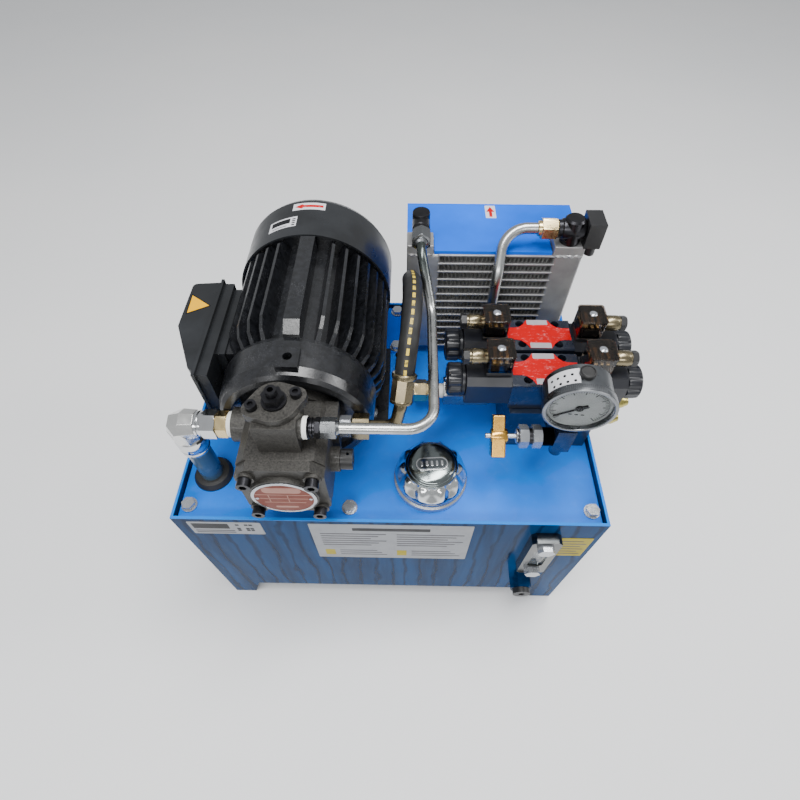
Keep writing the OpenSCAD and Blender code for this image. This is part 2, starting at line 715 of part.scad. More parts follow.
module flow_knob() color([0.06, 0.06, 0.06]) difference()
{
    union()
    {
        xcyl([axis_x + 36, knob_x + 1], adjust_y, axis_z, 6);
        xcyl([knob_x, knob_x + 12], adjust_y, axis_z, 10.5);
    }
    xcyl([knob_x + 6, knob_x + 13], adjust_y, axis_z, 4);
    zcyl(knob_x + 7, adjust_y, [axis_z - 12, axis_z + 12], 1.5);
}

module pump_rotor() color([0.65, 0.65, 0.66]) difference()
{
    union()
    {
        ycyl(axis_x, [-172, -88], axis_z, pump_shaft_r);
        ycyl(axis_x, [-163, -127], axis_z, 20);
        for (k = [0:9]) translate([axis_x, 0, axis_z]) rotate([0, 36 * k, 0])
            box([12, 21.5], [-163, -127], [-0.9, 0.9]);
    }
    for (k = [0:9]) translate([axis_x, 0, axis_z]) rotate([0, 36 * k + 18, 0])
        box([17, 21], [-164, -126], [-1.2, 1.2]);
}

module pump_cam_ring() color([0.55, 0.55, 0.56]) difference()
{
    ycyl(axis_x, [-163, -127], axis_z, chamber_r - slip);
    ycyl(axis_x + 1.5, [-164, -126], axis_z, 24);
}

/* ---- lines ---- */

module drain_tube() color([0.75, 0.76, 0.76])
    swept(rounded(drain_route, 24, 8), drain_tube_d, [0, 0, 1], 12);

module return_tube() color([0.7, 0.7, 0.7])
    swept(rounded(return_route, 28, 8), return_tube_d, [0, 1, 0], 12);

module tube_fittings()
{
    // Drain line, pump end: sealed stud, adapter and nut
    color([0.12, 0.12, 0.12])
    {
        xcyl([axis_x + 13, axis_x + 23], drain_y, drain_line_z, 6);
        xcyl([axis_x + 23, axis_x + 28], drain_y, drain_line_z, 10.5);
        xhex([axis_x + 28, axis_x + 38], drain_y, drain_line_z, 17);
        xhex([axis_x + 39, axis_x + 53], drain_y, drain_line_z, 17);
        xcyl([axis_x + 38, axis_x + 39], drain_y, drain_line_z, 7);
    }
    // Drain line, cooler end: elbow on the left port block
    color([0.14, 0.14, 0.14])
    {
        zcyl(left_port[0], left_port[1], [port_block_top - 7, port_block_top], 6 - slip);
        zcyl(left_port[0], left_port[1], [port_block_top, left_elbow_z + 11], 9.5);
        ycyl(left_port[0], [74, left_port[1]], left_elbow_z, 9.5);
        yhex(left_port[0], [56, 74], left_elbow_z, 20);
    }
    // Return line, cooler end: tee on the right port block
    color([0.1, 0.1, 0.1])
    {
        zcyl(right_port[0], right_port[1], [port_block_top - 7, port_block_top], 6 - slip);
        zcyl(right_port[0], right_port[1], [port_block_top, right_elbow_z], 12);
        xbar([right_port[0] - 12, right_port[0] + 13], right_port[1], right_elbow_z, 24, 22, 5);
    }
    color([0.7, 0.6, 0.4]) xhex([160, right_port[0] - 12], right_port[1], right_elbow_z, 21);
    // Return line, tank end
    color([0.12, 0.12, 0.12])
    {
        zcyl(return_x, return_y, [lid_top - 30, lid_top + 8], 8);
        zhex(return_x, return_y, [lid_top + 8, lid_top + 20], 22);
    }
}

module hose_fittings()
{
    color([0.35, 0.3, 0.18])
    {
        xcyl([axis_x + pump_half - 8, axis_x + pump_half + 7], press_y, port_z, 8);
        xhex([axis_x + pump_half + 7, axis_x + pump_half + 19], press_y, port_z, 19);
        xhex([axis_x + pump_half + 20, axis_x + pump_half + 37], press_y, port_z, 23);
        xcyl([axis_x + pump_half + 19, axis_x + pump_half + 20], press_y, port_z, 8);
        swept(rounded(pump_elbow_route, 17, 6), 13, [0, 0, 1], 12);
        swept([hose_route[0] - ferrule_len * hose_in, hose_route[0]], 25, [1, 0, 0], 12);
    }
    color([0.65, 0.55, 0.3])
    {
        swept([hose_end, hose_end + ferrule_len * hose_out], 25, [1, 0, 0], 12);
        swept(rounded(manifold_elbow_route, 6, 6), 13, [0, 0, 1], 12);
        xhex([26, 42], inlet_y, inlet_z, 24);
        xhex([42, 54], inlet_y, inlet_z, 22);
        xcyl([54, 62], inlet_y, inlet_z, 9);
    }
}

module pressure_hose() color([0.08, 0.08, 0.08]) swept(hose_route, hose_d, [1, 0, 0], 12);

module check_valve() color([0.6, 0.6, 0.55])
{
    xhex([62, 118], inlet_y, inlet_z, 30);
    xcyl([118, manifold_x[0]], inlet_y, inlet_z, 11);
    xcyl([manifold_x[0], manifold_x[0] + 14], inlet_y, inlet_z, 9);
}

module temperature_switch() color([0.05, 0.05, 0.05])
{
    x = right_port[0] + 13;
    box([x, x + 18], [right_port[1] - 14, right_port[1] + 14], [right_elbow_z - 16, right_elbow_z + 14]);
    zcyl(x + 11, right_port[1] - 5, [right_elbow_z - 28, right_elbow_z - 16], 6);
}

/* ---- cooler ---- */

module cooler_core() color([0.72, 0.73, 0.73])
{
    pitch = (core_z[1] - core_z[0]) / core_rows;
    for (k = [0:core_rows]) box([core_x[0], core_x[1]], core_y, [core_z[0] + k * pitch - 1.3,
        core_z[0] + k * pitch + 1.3]);
    box([core_x[0], core_x[1]], [core_y[0] + 3, core_y[1]], core_z);
    for (x = [[cooler_x[0], core_x[0]], [core_x[1], cooler_x[1]]])
        box(x, core_y, [core_z[0] - 3, core_z[1] + 1.3]);
    difference()
    {
        union()
        {
            box([cooler_x[0], 45], [core_y[0], 109], [core_z[1], port_block_top]);
            box([cooler_x[1] - 34, cooler_x[1]], [core_y[0], 109], [core_z[1], port_block_top]);
        }
        zcyl(left_port[0], left_port[1], [port_block_top - 8, port_block_top + 1], 6);
        zcyl(right_port[0], right_port[1], [port_block_top - 8, port_block_top + 1], 6);
    }
}

module cooler_shroud() color([0.05, 0.5, 0.9]) difference()
{
    z = [lid_top + 13, core_z[1] + 5];
    union()
    {
        difference()
        {
            box(cooler_x, [core_y[1], shroud_back], z);
            box([cooler_x[0] + 2, cooler_x[1] - 2], [core_y[1] - open, shroud_back - 2],
                [z[0] + 2, z[1] - 2]);
        }
        box([46, cooler_x[1] - 35], [core_y[0] + 2, core_y[1]], [core_z[1] + 1.3, z[1]]);
        box([-12, cooler_x[0]], [80, 166], [lid_top, lid_top + 2.5]);
        box([cooler_x[0] - 2.5, cooler_x[0]], [80, 166], [lid_top, lid_top + 60]);
        box([cooler_x[1], 235], [80, 134], [lid_top, lid_top + 2.5]);
        box([cooler_x[1], cooler_x[1] + 2.5], [80, 134], [lid_top, lid_top + 60]);
        box([cooler_x[0], cooler_x[0] + 2], [core_y[1] + open, 160], [lid_top, z[0]]);
        box([cooler_x[1] - 2, cooler_x[1]], [core_y[1] + open, 134], [lid_top, z[0]]);
    }
    ycyl(cooler_axis_x, [shroud_back - 3, shroud_back + 1], cooler_axis_z, cooler_fan_r + 2);
    for (p = cooler_bolts) zcyl(p[0], p[1], [lid_top - 1, lid_top + 4], bolt_r + 0.5);
}

module cooler_fan() color([0.1, 0.1, 0.1])
{
    ycyl(cooler_axis_x, fan_y, cooler_axis_z, 30);
    ycyl(cooler_axis_x, [fan_y[1], 170], cooler_axis_z, 4);
    for (k = [0:6]) translate([cooler_axis_x, 150, cooler_axis_z]) rotate([0, 360 / 7 * k, 0])
        rotate([28, 0, 0]) box([26, cooler_fan_r - 3], [-1, 1], [-13, 13]);
}

// Fan motor carried by the wire guard
module cooler_fan_motor() color([0.2, 0.2, 0.21])
{
    difference()
    {
        ycyl(cooler_axis_x, [162, 184], cooler_axis_z, 28);
        ycyl(cooler_axis_x, [161, 172], cooler_axis_z, 4 + slip);
    }
    for (r = [40, 52, 64, 76]) difference()
    {
        ycyl(cooler_axis_x, [shroud_back, shroud_back + 3], cooler_axis_z, r);
        ycyl(cooler_axis_x, [shroud_back - 1, shroud_back + 4], cooler_axis_z, r - 3);
    }
    for (k = [0:3]) translate([cooler_axis_x, 0, cooler_axis_z]) rotate([0, 45 * k, 0])
    {
        box([26, 75], [shroud_back, shroud_back + 3], [-2, 2]);
        box([-75, -26], [shroud_back, shroud_back + 3], [-2, 2]);
    }
}

/* ---- valve stack ---- */

function bolt_places(y) = [for (s = [-1, 1], u = [-1, 1]) [valve_x + s * bolt_dx, y + u * bolt_dy]];

module valve_manifold() color([0.1, 0.14, 0.25]) difference()
{
    box(manifold_x, manifold_y, [lid_top, manifold_top]);
    xcyl([manifold_x[0] - 1, manifold_x[0] + 15], inlet_y, inlet_z, 9 + slip);
    for (y = valve_ys)
    {
        for (z = port_heights)
            xcyl([manifold_x[1] - 15, manifold_x[1] + 1], y, z, 8 + slip);
        for (p = bolt_places(y)) zcyl(p[0], p[1], [manifold_top - 12, manifold_top + 1], 2.5 + slip);
    }
    for (p = manifold_bolts) zcyl(p[0], p[1], [lid_top - open, lid_top + 16], bolt_r + slip);
}

module valve_bodies() color([0.08, 0.09, 0.13]) for (y = valve_ys) difference()
{
    union()
    {
        xbar([valve_x - valve_half, valve_x + valve_half], y, (manifold_top + valve_top) / 2, valve_d,
            valve_top - manifold_top, 1.5);
        xcyl([valve_x - tube_end, valve_x + tube_end], y, coil_z, tube_r);
    }
    xcyl([valve_x - 101, valve_x + 101], y, coil_z, spool_r + slip);
    for (p = bolt_places(y))
    {
        zcyl(p[0], p[1], [manifold_top - 1, valve_top + 1], 2.75);
        zcyl(p[0], p[1], [valve_top - 14, valve_top + 1], 4.8);
    }
}

// Socket-head screw along Z with its head's underside at z
module socket_screw(x, y, z, r, shank, head_r, head_h)
{
    zcyl(x, y, [z - shank, z], r);
    difference()
    {
        zcyl(x, y, [z, z + head_h], head_r);
        zhex(x, y, [z + head_h / 2, z + head_h + 1], head_r);
    }
}

module socket_screws() color([0.1, 0.1, 0.1])
{
    for (y = valve_ys, p = bolt_places(y))
        socket_screw(p[0], p[1], valve_top - 14, 2.5, valve_top - manifold_top - 3, 4.25, 5);
    for (s = [-1, 1])
        socket_screw(bonnet_x + s * bonnet_screw[0], bonnet_y + s * bonnet_screw[1], bonnet_top, 3, 14,
            5, 6);
    for (s = [-1, 1], u = [-1, 1])
        translate([axis_x + s * pump_bolt, pump_front + 2, axis_z + u * pump_bolt]) rotate([90, 0, 0])
            socket_screw(0, 0, 0, 4, 27, 6.5, 8);
}

module solenoid_coils() color([0.05, 0.05, 0.06]) for (y = valve_ys, s = [-1, 1]) difference()
{
    a = valve_x + s * valve_half;
    b = a + s * coil_len;
    xbar([min(a, b), max(a, b)], y, coil_z, 2 * coil_half, 2 * coil_half, 7);
    xcyl([min(a, b) - 1, max(a, b) + 1], y, coil_z, tube_r + slip);
}

// Knurled coil nut: twelve flutes and an end wall with the override pin's hole
module coil_nuts() color([0.06, 0.06, 0.07]) for (y = valve_ys, s = [-1, 1])
    translate([valve_x, y, coil_z]) rotate([0, 90 * s, 0]) difference()
    {
        translate([0, 0, coil_end]) cylinder(h = nut_end - coil_end, r = coil_nut_r);
        translate([0, 0, coil_end - 1]) cylinder(h = tube_end + 1.5 - coil_end, r = tube_r + slip);
        cylinder(h = nut_end + 1, r = pin_r + slip);
        for (k = [0:11]) rotate(30 * k)
            translate([coil_nut_r + 1.6, 0, coil_end + 5]) cylinder(h = 20, r = 3);
    }

module din_connectors() for (y = valve_ys, s = [-1, 1]) translate([valve_x, y, 0])
    rotate(s > 0 ? 0 : 180)
    {
        color([0.3, 0.27, 0.22]) box([connector_dx - 14, connector_dx + 14], [-14, 14],
            [coil_z + coil_half, coil_z + coil_half + 31]);
        difference()
        {
            union()
            {
                color([0.45, 0.42, 0.35]) xcyl([connector_dx + 14, connector_dx + 32], 0, gland_z, 8.5);
                color([0.1, 0.1, 0.1]) xhex([connector_dx + 32, connector_dx + 39], 0, gland_z, 15);
            }
            xcyl([connector_dx + 16, connector_dx + 40], 0, gland_z, 3.5);
        }
    }

module spool(y) color([0.7, 0.7, 0.72])
{
    xcyl([valve_x - 96, valve_x + 96], y, coil_z, spool_r);
    xcyl([valve_x - 106, valve_x + 106], y, coil_z, pin_r);
}

module front_spool() spool(front_valve_y);

module rear_spool() spool(rear_valve_y);

module port_fittings() color([0.75, 0.65, 0.3]) for (y = valve_ys, z = port_heights) difference()
{
    union()
    {
        xcyl([manifold_x[1] - 14, manifold_x[1]], y, z, 8);
        translate([0, y, z]) rotate([30, 0, 0]) xhex([manifold_x[1], manifold_x[1] + 16], 0, 0, 20);
        xcyl([manifold_x[1] + 16, manifold_x[1] + 34], y, z, 8.5);
        translate([manifold_x[1] + 34, y, z]) rotate([0, 90, 0]) cylinder(h = 8, r1 = 8.5, r2 = 5);
    }
    xcyl([manifold_x[1] - 15, manifold_x[1] + 43], y, z, 4);
}

/* ---- relief valve and gauge ---- */

module gauge_block() color([0.1, 0.14, 0.25]) difference()
{
    union()
    {
        box(block_x, block_y, block_z);
        zcyl(block_x[0] + 8, -101, [block_z[0] - 8, block_z[0]], 7);
    }
    xcyl([block_x[0] - 1, block_x[1] - 6], relief_y, relief_z, 8 + slip);
    zcyl(dial[0], dial[1], [block_z[1] - 12, block_z[1] + 1], 5 + slip);
}

module relief_cartridge() color([0.5, 0.5, 0.52]) difference()
{
    union()
    {
        xcyl([134, block_x[1] - 7], relief_y, relief_z, 8);
        xhex([136, 146], relief_y, relief_z, 22);
        xhex([150, 160], relief_y, relief_z, 22);
        xcyl([164, block_x[0]], relief_y, relief_z, 10);
    }
    xcyl([133, 152], relief_y, relief_z, 3 + slip);
}

module relief_handle() color([0.72, 0.5, 0.15]) translate([0, relief_y, relief_z]) rotate([-50, 0, 0])
{
    xcyl([102, 150], 0, 0, 3);
    box(wing_x, [-8, 8], [-8, 8]);
    box([wing_x[0], wing_x[1] - 3], [-6, 6], [-wing_half, 0]);
    box([wing_x[0] + 3, wing_x[1]], [-6, 6], [0, wing_half]);
}

module on_dial() translate(dial) rotate(dial_yaw) children();

module gauge_case() color([0.5, 0.52, 0.54])
{
    on_dial() difference()
    {
        union()
        {
            ycyl(0, [-13, 15], 0, case_r);
            ycyl(0, [-17, -9], 0, bezel_r);
        }
        ycyl(0, [-18, -12], 0, case_r - 2);
        ycyl(0, [-18, -9], 0, 1 + slip);
    }
    zhex(dial[0], dial[1], [block_z[1], dial[2] - case_r + 2], 14);
    zcyl(dial[0], dial[1], [block_z[1] - 11, block_z[1] + 2], 5);
    zcyl(dial[0], dial[1] + 3, [dial[2] + case_r - 2, dial[2] + case_r + 3], 6);
}

module gauge_needle() color([0.05, 0.05, 0.05]) on_dial() rotate([0, -125, 0])
{
    ycyl(0, [-14, -9.2], 0, 1);
    ycyl(0, [-14, -13], 0, 4);
    box([-0.8, 0.8], [-14, -13], [0, 26]);
    box([-2, 2], [-14, -13], [-9, 0]);
}

module gauge_glass() color([0.85, 0.9, 0.92, 0.3]) on_dial() ycyl(0, [-16.5, -14.7], 0, case_r - 2 - slip);

/* ---- one line per node ---- */

tank_body();
lid_gasket();
lid_plate();
flange_bolts();
drain_plug();
level_gauge_housing();
level_gauge_window();
level_gauge_bolts();
filler_neck();
filler_basket();
filler_cap();
suction_strainer();
suction_grommet();
suction_pipe();
suction_elbow();
suction_adapter();
label_plates();
motor_frame();
motor_end_bells();
motor_stator();
motor_rotor();
motor_bearings();
motor_fan();
fan_cowl();
terminal_box();
terminal_box_cover();
pump_body();
pump_cover();
pump_bonnet();
pressure_screw();
pressure_lock_nut();
flow_knob();
pump_rotor();
pump_cam_ring();
drain_tube();
return_tube();
tube_fittings();
hose_fittings();
pressure_hose();
check_valve();
temperature_switch();
cooler_core();
cooler_shroud();
cooler_fan();
cooler_fan_motor();
valve_manifold();
valve_bodies();
solenoid_coils();
coil_nuts();
din_connectors();
socket_screws();
front_spool();
rear_spool();
port_fittings();
relief_cartridge();
relief_handle();
gauge_block();
gauge_case();
gauge_needle();
gauge_glass();
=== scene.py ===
from math import acos, cos, pi, radians, sin, sqrt, tan

import bmesh
import bpy
from mathutils import Matrix, Vector


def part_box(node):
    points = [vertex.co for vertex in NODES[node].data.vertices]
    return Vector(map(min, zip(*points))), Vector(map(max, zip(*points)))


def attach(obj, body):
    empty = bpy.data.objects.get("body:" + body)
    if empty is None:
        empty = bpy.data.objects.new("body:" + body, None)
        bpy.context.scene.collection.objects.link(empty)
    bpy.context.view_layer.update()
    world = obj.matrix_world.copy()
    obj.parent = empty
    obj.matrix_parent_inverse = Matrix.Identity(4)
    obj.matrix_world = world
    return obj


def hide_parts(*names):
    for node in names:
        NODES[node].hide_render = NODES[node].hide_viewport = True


# The looks of the hydraulic power unit. Lengths are in millimetres and are turned into metres where a
# mesh is made; only the lights and the floor are in metres. Frame: +X right, +Y back, +Z up.

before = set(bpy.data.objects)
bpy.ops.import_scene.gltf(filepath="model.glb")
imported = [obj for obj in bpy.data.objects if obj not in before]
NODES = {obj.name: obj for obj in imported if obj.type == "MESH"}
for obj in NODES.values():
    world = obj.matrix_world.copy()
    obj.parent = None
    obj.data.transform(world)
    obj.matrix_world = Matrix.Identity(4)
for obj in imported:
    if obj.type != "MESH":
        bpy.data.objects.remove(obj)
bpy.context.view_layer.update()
MM = 0.001
TAU = 2 * pi
X, Y, Z = Vector((1, 0, 0)), Vector((0, 1, 0)), Vector((0, 0, 1))
FACING_FRONT = Matrix.Rotation(pi / 2, 4, "X")

# ---- places, from the CAD frame


def span(node):
    """Lowest and highest corner of a CAD node in millimetres."""
    low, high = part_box(node)
    return low / MM, high / MM


LID_TOP = 272
TERMINAL_TOP = 420
CAP_SHOULDER = 305.5
TANK_RIM = 282
TANK_FRONT = -170
MOTOR = Vector((-97, 0, 365))
COWL_R = 92
VALVE_X = 166
VALVE_Y = (-35, 16)
COIL_Z = 363.5
GLAND_Z = 402
VALVE_TOP = 383
COIL_END = 85
PLUG_X = 52
MANIFOLD_END = 232
PORT_LEVELS = (("lower", 292.5), ("upper", 326))
STATIONS = tuple(zip(("front", "rear"), VALVE_Y))
COILS = [(station + side, y, sign) for station, y in STATIONS
    for side, sign in (("_left", -1), ("_right", 1))]
DIAL = Vector((184, -90, 407))
DIAL_FACE = 12.35
DIAL_INK = (DIAL_FACE, 12.5)
DIAL_PLACE = Matrix.Translation(DIAL) @ Matrix.Rotation(radians(-5), 4, "Z")
FILLER = Vector((46, -112, LID_TOP))
SUCTION = Vector((-207, -111, 382))
PRESSURE_Y = -111
PORT_Z = 382
DRAIN_Y = -144
DRAIN_Z = 430
LEFT_PORT = Vector((30, 96, 474))
RIGHT_PORT = Vector((196, 95, 466))
RELIEF = Vector((0, -98, 347))
INLET = Vector((26, -4, 300))
RETURN = Vector((116, 60, 292))

# ---- camera and light

CAMERA_AT = Vector((16.3, -382.3, 806.1)) * MM
CAMERA_PITCH = radians(54.36)
CAMERA_YAW = radians(1.13)
CAMERA_ROLL = radians(0.08)
CAMERA_LENS = 22.77


def make_camera():
    data = bpy.data.cameras.new("camera")
    data.lens = CAMERA_LENS
    data.sensor_width = 36
    camera = bpy.data.objects.new("camera", data)
    bpy.context.scene.collection.objects.link(camera)
    yaw = Matrix.Rotation(CAMERA_YAW, 4, "Z")
    pitch = Matrix.Rotation(pi / 2 - CAMERA_PITCH, 4, "X")
    roll = Matrix.Rotation(-CAMERA_ROLL, 4, "Z")
    camera.matrix_world = Matrix.Translation(CAMERA_AT) @ yaw @ pitch @ roll
    bpy.context.scene.camera = camera


def area_light(name, at, target, size, power):
    data = bpy.data.lights.new(name, "AREA")
    data.shape = "RECTANGLE"
    data.size, data.size_y = size
    data.energy = power
    light = bpy.data.objects.new(name, data)
    light.location = at
    light.rotation_euler = (Vector(target) - Vector(at)).to_track_quat("-Z", "Y").to_euler()
    bpy.context.scene.collection.objects.link(light)


def make_lights():
    world = bpy.data.worlds.new("studio")
    world.use_nodes = True
    background = world.node_tree.nodes["Background"]
    background.inputs["Color"].default_value = (0.95, 0.97, 1.0, 1)
    background.inputs["Strength"].default_value = 0.5
    bpy.context.scene.world = world
    area_light("overhead", (0.1, -0.1, 2.3), (0, 0, 0.3), (1.8, 0.5), 54)
    area_light("front", (-0.3, -1.9, 1.5), (0, 0, 0.3), (2.4, 0.4), 30)
    area_light("side", (1.8, 0.1, 1.5), (0, 0, 0.3), (0.4, 1.0), 14)


# ---- materials

# How far a bevelled normal agrees with the true one: on an edge, and on a flat face.
EDGE_DOT = 0.6
FLAT_DOT = 0.97


class Look:
    """A node material under construction. Its textures read the object's own coordinates."""

    def __init__(self, name, **sockets):
        self.material = bpy.data.materials.new(name)
        self.material.use_nodes = True
        self.tree = self.material.node_tree
        self.shader = self.tree.nodes["Principled BSDF"]
        self.place = self.add("ShaderNodeTexCoord").outputs["Object"]
        for socket, value in sockets.items():
            self.feed(self.shader.inputs[socket.replace("_", " ").title().replace("Ior", "IOR")], value)

    def feed(self, socket, value):
        """A socket takes another node's output, a colour or a plain value."""
        if isinstance(value, bpy.types.NodeSocket):
            self.tree.links.new(value, socket)
        else:
            socket.default_value = (*value, 1) if socket.type == "RGBA" else value

    def add(self, kind, inputs=(), **settings):
        node = self.tree.nodes.new(kind)
        for key, value in settings.items():
            setattr(node, key, value)
        for socket, value in dict(inputs).items():
            self.feed(node.inputs[socket], value)
        return node

    def texture(self, kind, stretch, inputs, **settings):
        """A texture on the object's coordinates, squeezed along each axis if asked."""
        place = self.place
        if stretch:
            place = self.add("ShaderNodeMapping", {"Vector": place, "Scale": stretch}).outputs["Vector"]
        return self.add(kind, {"Vector": place, **inputs}, **settings)

    def noise(self, scale, detail=5, rough=0.55, stretch=None, warp=0.0):
        inputs = {"Scale": scale, "Detail": detail, "Roughness": rough, "Distortion": warp}
        return self.texture("ShaderNodeTexNoise", stretch, inputs).outputs["Fac"]

    def bands(self, scale, warp, stretch):
        """Soft upright bands with a wandering line."""
        inputs = {"Scale": scale, "Distortion": warp, "Detail": 3, "Detail Scale": 2.2}
        return self.texture("ShaderNodeTexWave", stretch, inputs, bands_direction="X").outputs["Fac"]

    def cells(self, scale):
        return self.texture("ShaderNodeTexVoronoi", None, {"Scale": scale}).outputs["Distance"]

    def remap(self, value, low, high, to_low=0.0, to_high=1.0):
        inputs = {"Value": value, "From Min": low, "From Max": high, "To Min": to_low, "To Max": to_high}
        return self.add("ShaderNodeMapRange", inputs).outputs["Result"]

    def cloud(self, scale, detail, low, high, to_low=0.0, to_high=1.0, rough=0.55):
        """Noise, with the part between low and high spread over a new range."""
        return self.remap(self.noise(scale, detail, rough), low, high, to_low, to_high)

    def math(self, operation, a, b=0.0):
        return self.add("ShaderNodeMath", {0: a, 1: b}, operation=operation).outputs[0]

    def times(self, a, b):
        return self.math("MULTIPLY", a, b)

    def mix(self, factor, a, b):
        return self.add("ShaderNodeMix", {0: factor, 6: a, 7: b}, data_type="RGBA").outputs[2]

    def shades(self, value, shade, dark, light):
        """A shade that wanders between a darker and a lighter one."""
        return self.mix(self.remap(value, 0.3, 0.7), scaled(shade, dark), scaled(shade, light))

    def axis(self, letter):
        return self.add("ShaderNodeSeparateXYZ", {0: self.place}).outputs[letter]

    def edges(self, radius):
        """1 on convex and concave edges, 0 on flat faces."""
        bevelled = self.add("ShaderNodeBevel", {"Radius": radius * MM}, samples=4).outputs["Normal"]
        true = self.add("ShaderNodeNewGeometry").outputs["Normal"]
        dot = self.add("ShaderNodeVectorMath", {0: bevelled, 1: true}, operation="DOT_PRODUCT")
        return self.remap(dot.outputs["Value"], FLAT_DOT, EDGE_DOT)

    def finish(self, colour, roughness, height=None, strength=0.0, distance=0.3):
        """The material, with its colour, roughness and any bump fed to the shader."""
        self.feed(self.shader.inputs["Base Color"], colour)
        self.feed(self.shader.inputs["Roughness"], roughness)
        if height:
            inputs = {"Strength": strength, "Distance": distance * MM, "Height": height}
            self.feed(self.shader.inputs["Normal"], self.add("ShaderNodeBump", inputs).outputs["Normal"])
        return self.material


def scaled(colour, factor):
    return tuple(min(1.0, c * factor) for c in colour)


def paint(name, colour, rough, coat, dust, wear=0.0, specular=0.5):
    """Sprayed enamel: clouded colour, dust, orange peel and, if asked, worn edges."""
    look = Look(name, coat_weight=coat, coat_roughness=0.08, specular_ior_level=specular)
    tone = look.shades(look.noise(9, 4), colour, 0.8, 1.15)
    specks = look.cloud(70, 8, 0.52, 0.75, rough=0.7)
    tone = look.mix(look.times(specks, dust), tone, (0.62, 0.66, 0.7))
    if wear:
        rub = look.times(look.edges(1.2), look.cloud(45, 6, 0.45, 0.6, 0, wear))
        tone = look.mix(rub, tone, scaled(colour, 2.2))
    return look.finish(tone, look.cloud(24, 6, 0.3, 0.7, *rough), look.noise(420, 3), 0.12, 0.2)


def tank_paint():
    """Glossy enamel on folded sheet: slow vertical waves on the walls, darkened walls as painted shade, and a
    painted highlight on the rim's top edge.
    """
    look = Look("tank_paint", specular_ior_level=0.03)
    wave = look.noise(3.4, 3, 0.5, stretch=(7, 7, 0.6), warp=0.8)
    streak = look.bands(15, 4.0, stretch=(1, 1, 0.35))
    # Painted shade: the walls' blues are much darker than the lid's paint and stand in for the shade on the
    # walls.
    tone = look.mix(look.remap(wave, 0.36, 0.64), (0.001, 0.020, 0.068), (0.002, 0.046, 0.15))
    tone = look.mix(look.remap(streak, 0.22, 0.02, 0, 0.7), tone, (0.0005, 0.008, 0.03))
    fine = look.noise(60, 6, 0.65, stretch=(4, 4, 0.3))
    tone = look.mix(look.remap(fine, 0.5, 0.75, 0, 0.3), tone, (0.01, 0.07, 0.18))
    tone = look.mix(look.cloud(130, 8, 0.6, 0.8, 0, 0.06, rough=0.7), tone, (0.3, 0.4, 0.5))
    # Painted highlight: above the rim's edge height the colour turns to the lid's bright blue, standing in
    # for the lit top edge.
    rim = look.math("GREATER_THAN", look.axis("Z"), (TANK_RIM - 1.2) * MM)
    tone = look.mix(rim, tone, (0.001, 0.20, 0.74))
    ripple = look.noise(16, 4, 0.5, stretch=(3, 3, 0.5))
    return look.finish(tone, look.remap(wave, 0.3, 0.7, 0.07, 0.2), ripple, 0.3, 1.2)


def speckled_enamel():
    """Black enamel over rough casting: pin-prick painted glints and a lumpy skin."""
    look = Look("speckled_black_enamel", coat_weight=0.55, coat_roughness=0.3)
    grain = look.cloud(160, 6, 0.35, 0.7, rough=0.65)
    tone = look.mix(grain, (0.0025, 0.0028, 0.0035), (0.012, 0.013, 0.016))
    # Painted highlights: pale specks mixed into the colour, standing in for glints.
    painted_glint = look.times(look.remap(look.cells(900), 0.05, 0.2, 1, 0), look.cloud(38, 5, 0.5, 0.66))
    tone = look.mix(look.times(painted_glint, 0.7), tone, (0.5, 0.51, 0.55))
    return look.finish(tone, look.cloud(60, 5, 0.3, 0.7, 0.2, 0.38), look.noise(230, 6, 0.6), 0.4, 0.5)


def smooth_black():
    """Smooth black enamel, clouded and a little smeared."""
    shade = (0.009, 0.010, 0.0115)
    look = Look("smooth_black_paint", coat_weight=0.15, coat_roughness=0.15)
    smear = look.cloud(7, 7, 0.5, 0.8, 0, 0.25, rough=0.65)
    tone = look.mix(smear, look.shades(look.noise(14, 5), shade, 0.7, 1.7), scaled(shade, 5))
    return look.finish(tone, look.cloud(40, 6, 0.3, 0.7, 0.25, 0.4), look.noise(500, 3), 0.12, 0.15)


def cast_iron():
    """Bare sand casting: brown-grey grain with pits and rubbed edges."""
    look = Look("cast_iron", metallic=0.35, coat_weight=0.1)
    grain = look.noise(520, 7, 0.75)
    tone = look.mix(look.remap(grain, 0.35, 0.68), (0.012, 0.0115, 0.0105), (0.078, 0.074, 0.066))
    tone = look.mix(look.cloud(22, 5, 0.42, 0.7, 0, 0.3), tone, (0.022, 0.020, 0.018))
    rub = look.times(look.edges(1.4), look.cloud(60, 5, 0.4, 0.65, 0, 0.45))
    tone = look.mix(rub, tone, (0.16, 0.15, 0.13))
    return look.finish(tone, look.remap(grain, 0.3, 0.7, 0.38, 0.62), look.noise(380, 8, 0.75), 0.7, 0.5)


def scratched(look, tone, rough, strength=0.12, distance=0.12):
    """Fine scratches that vary both the roughness and the surface."""
    scratch = look.noise(90, 6, 0.7)
    return look.finish(tone, look.remap(scratch, 0.3, 0.7, *rough), scratch, strength, distance)


def metal(name, colour, rough, stain=(0.3, 0.28, 0.25), stained=0.25, wear=0.0, metallic=1.0):
    """Bare or plated metal: stains, fine scratches and, if asked, bright rubbed edges."""
    look = Look(name, metallic=metallic)
    tone = look.mix(look.cloud(35, 6, 0.45, 0.75, 0, stained, rough=0.6), colour, stain)
    if wear:
        tone = look.mix(look.times(look.edges(0.8), wear), tone, scaled(colour, 1.5))
    return scratched(look, tone, rough)


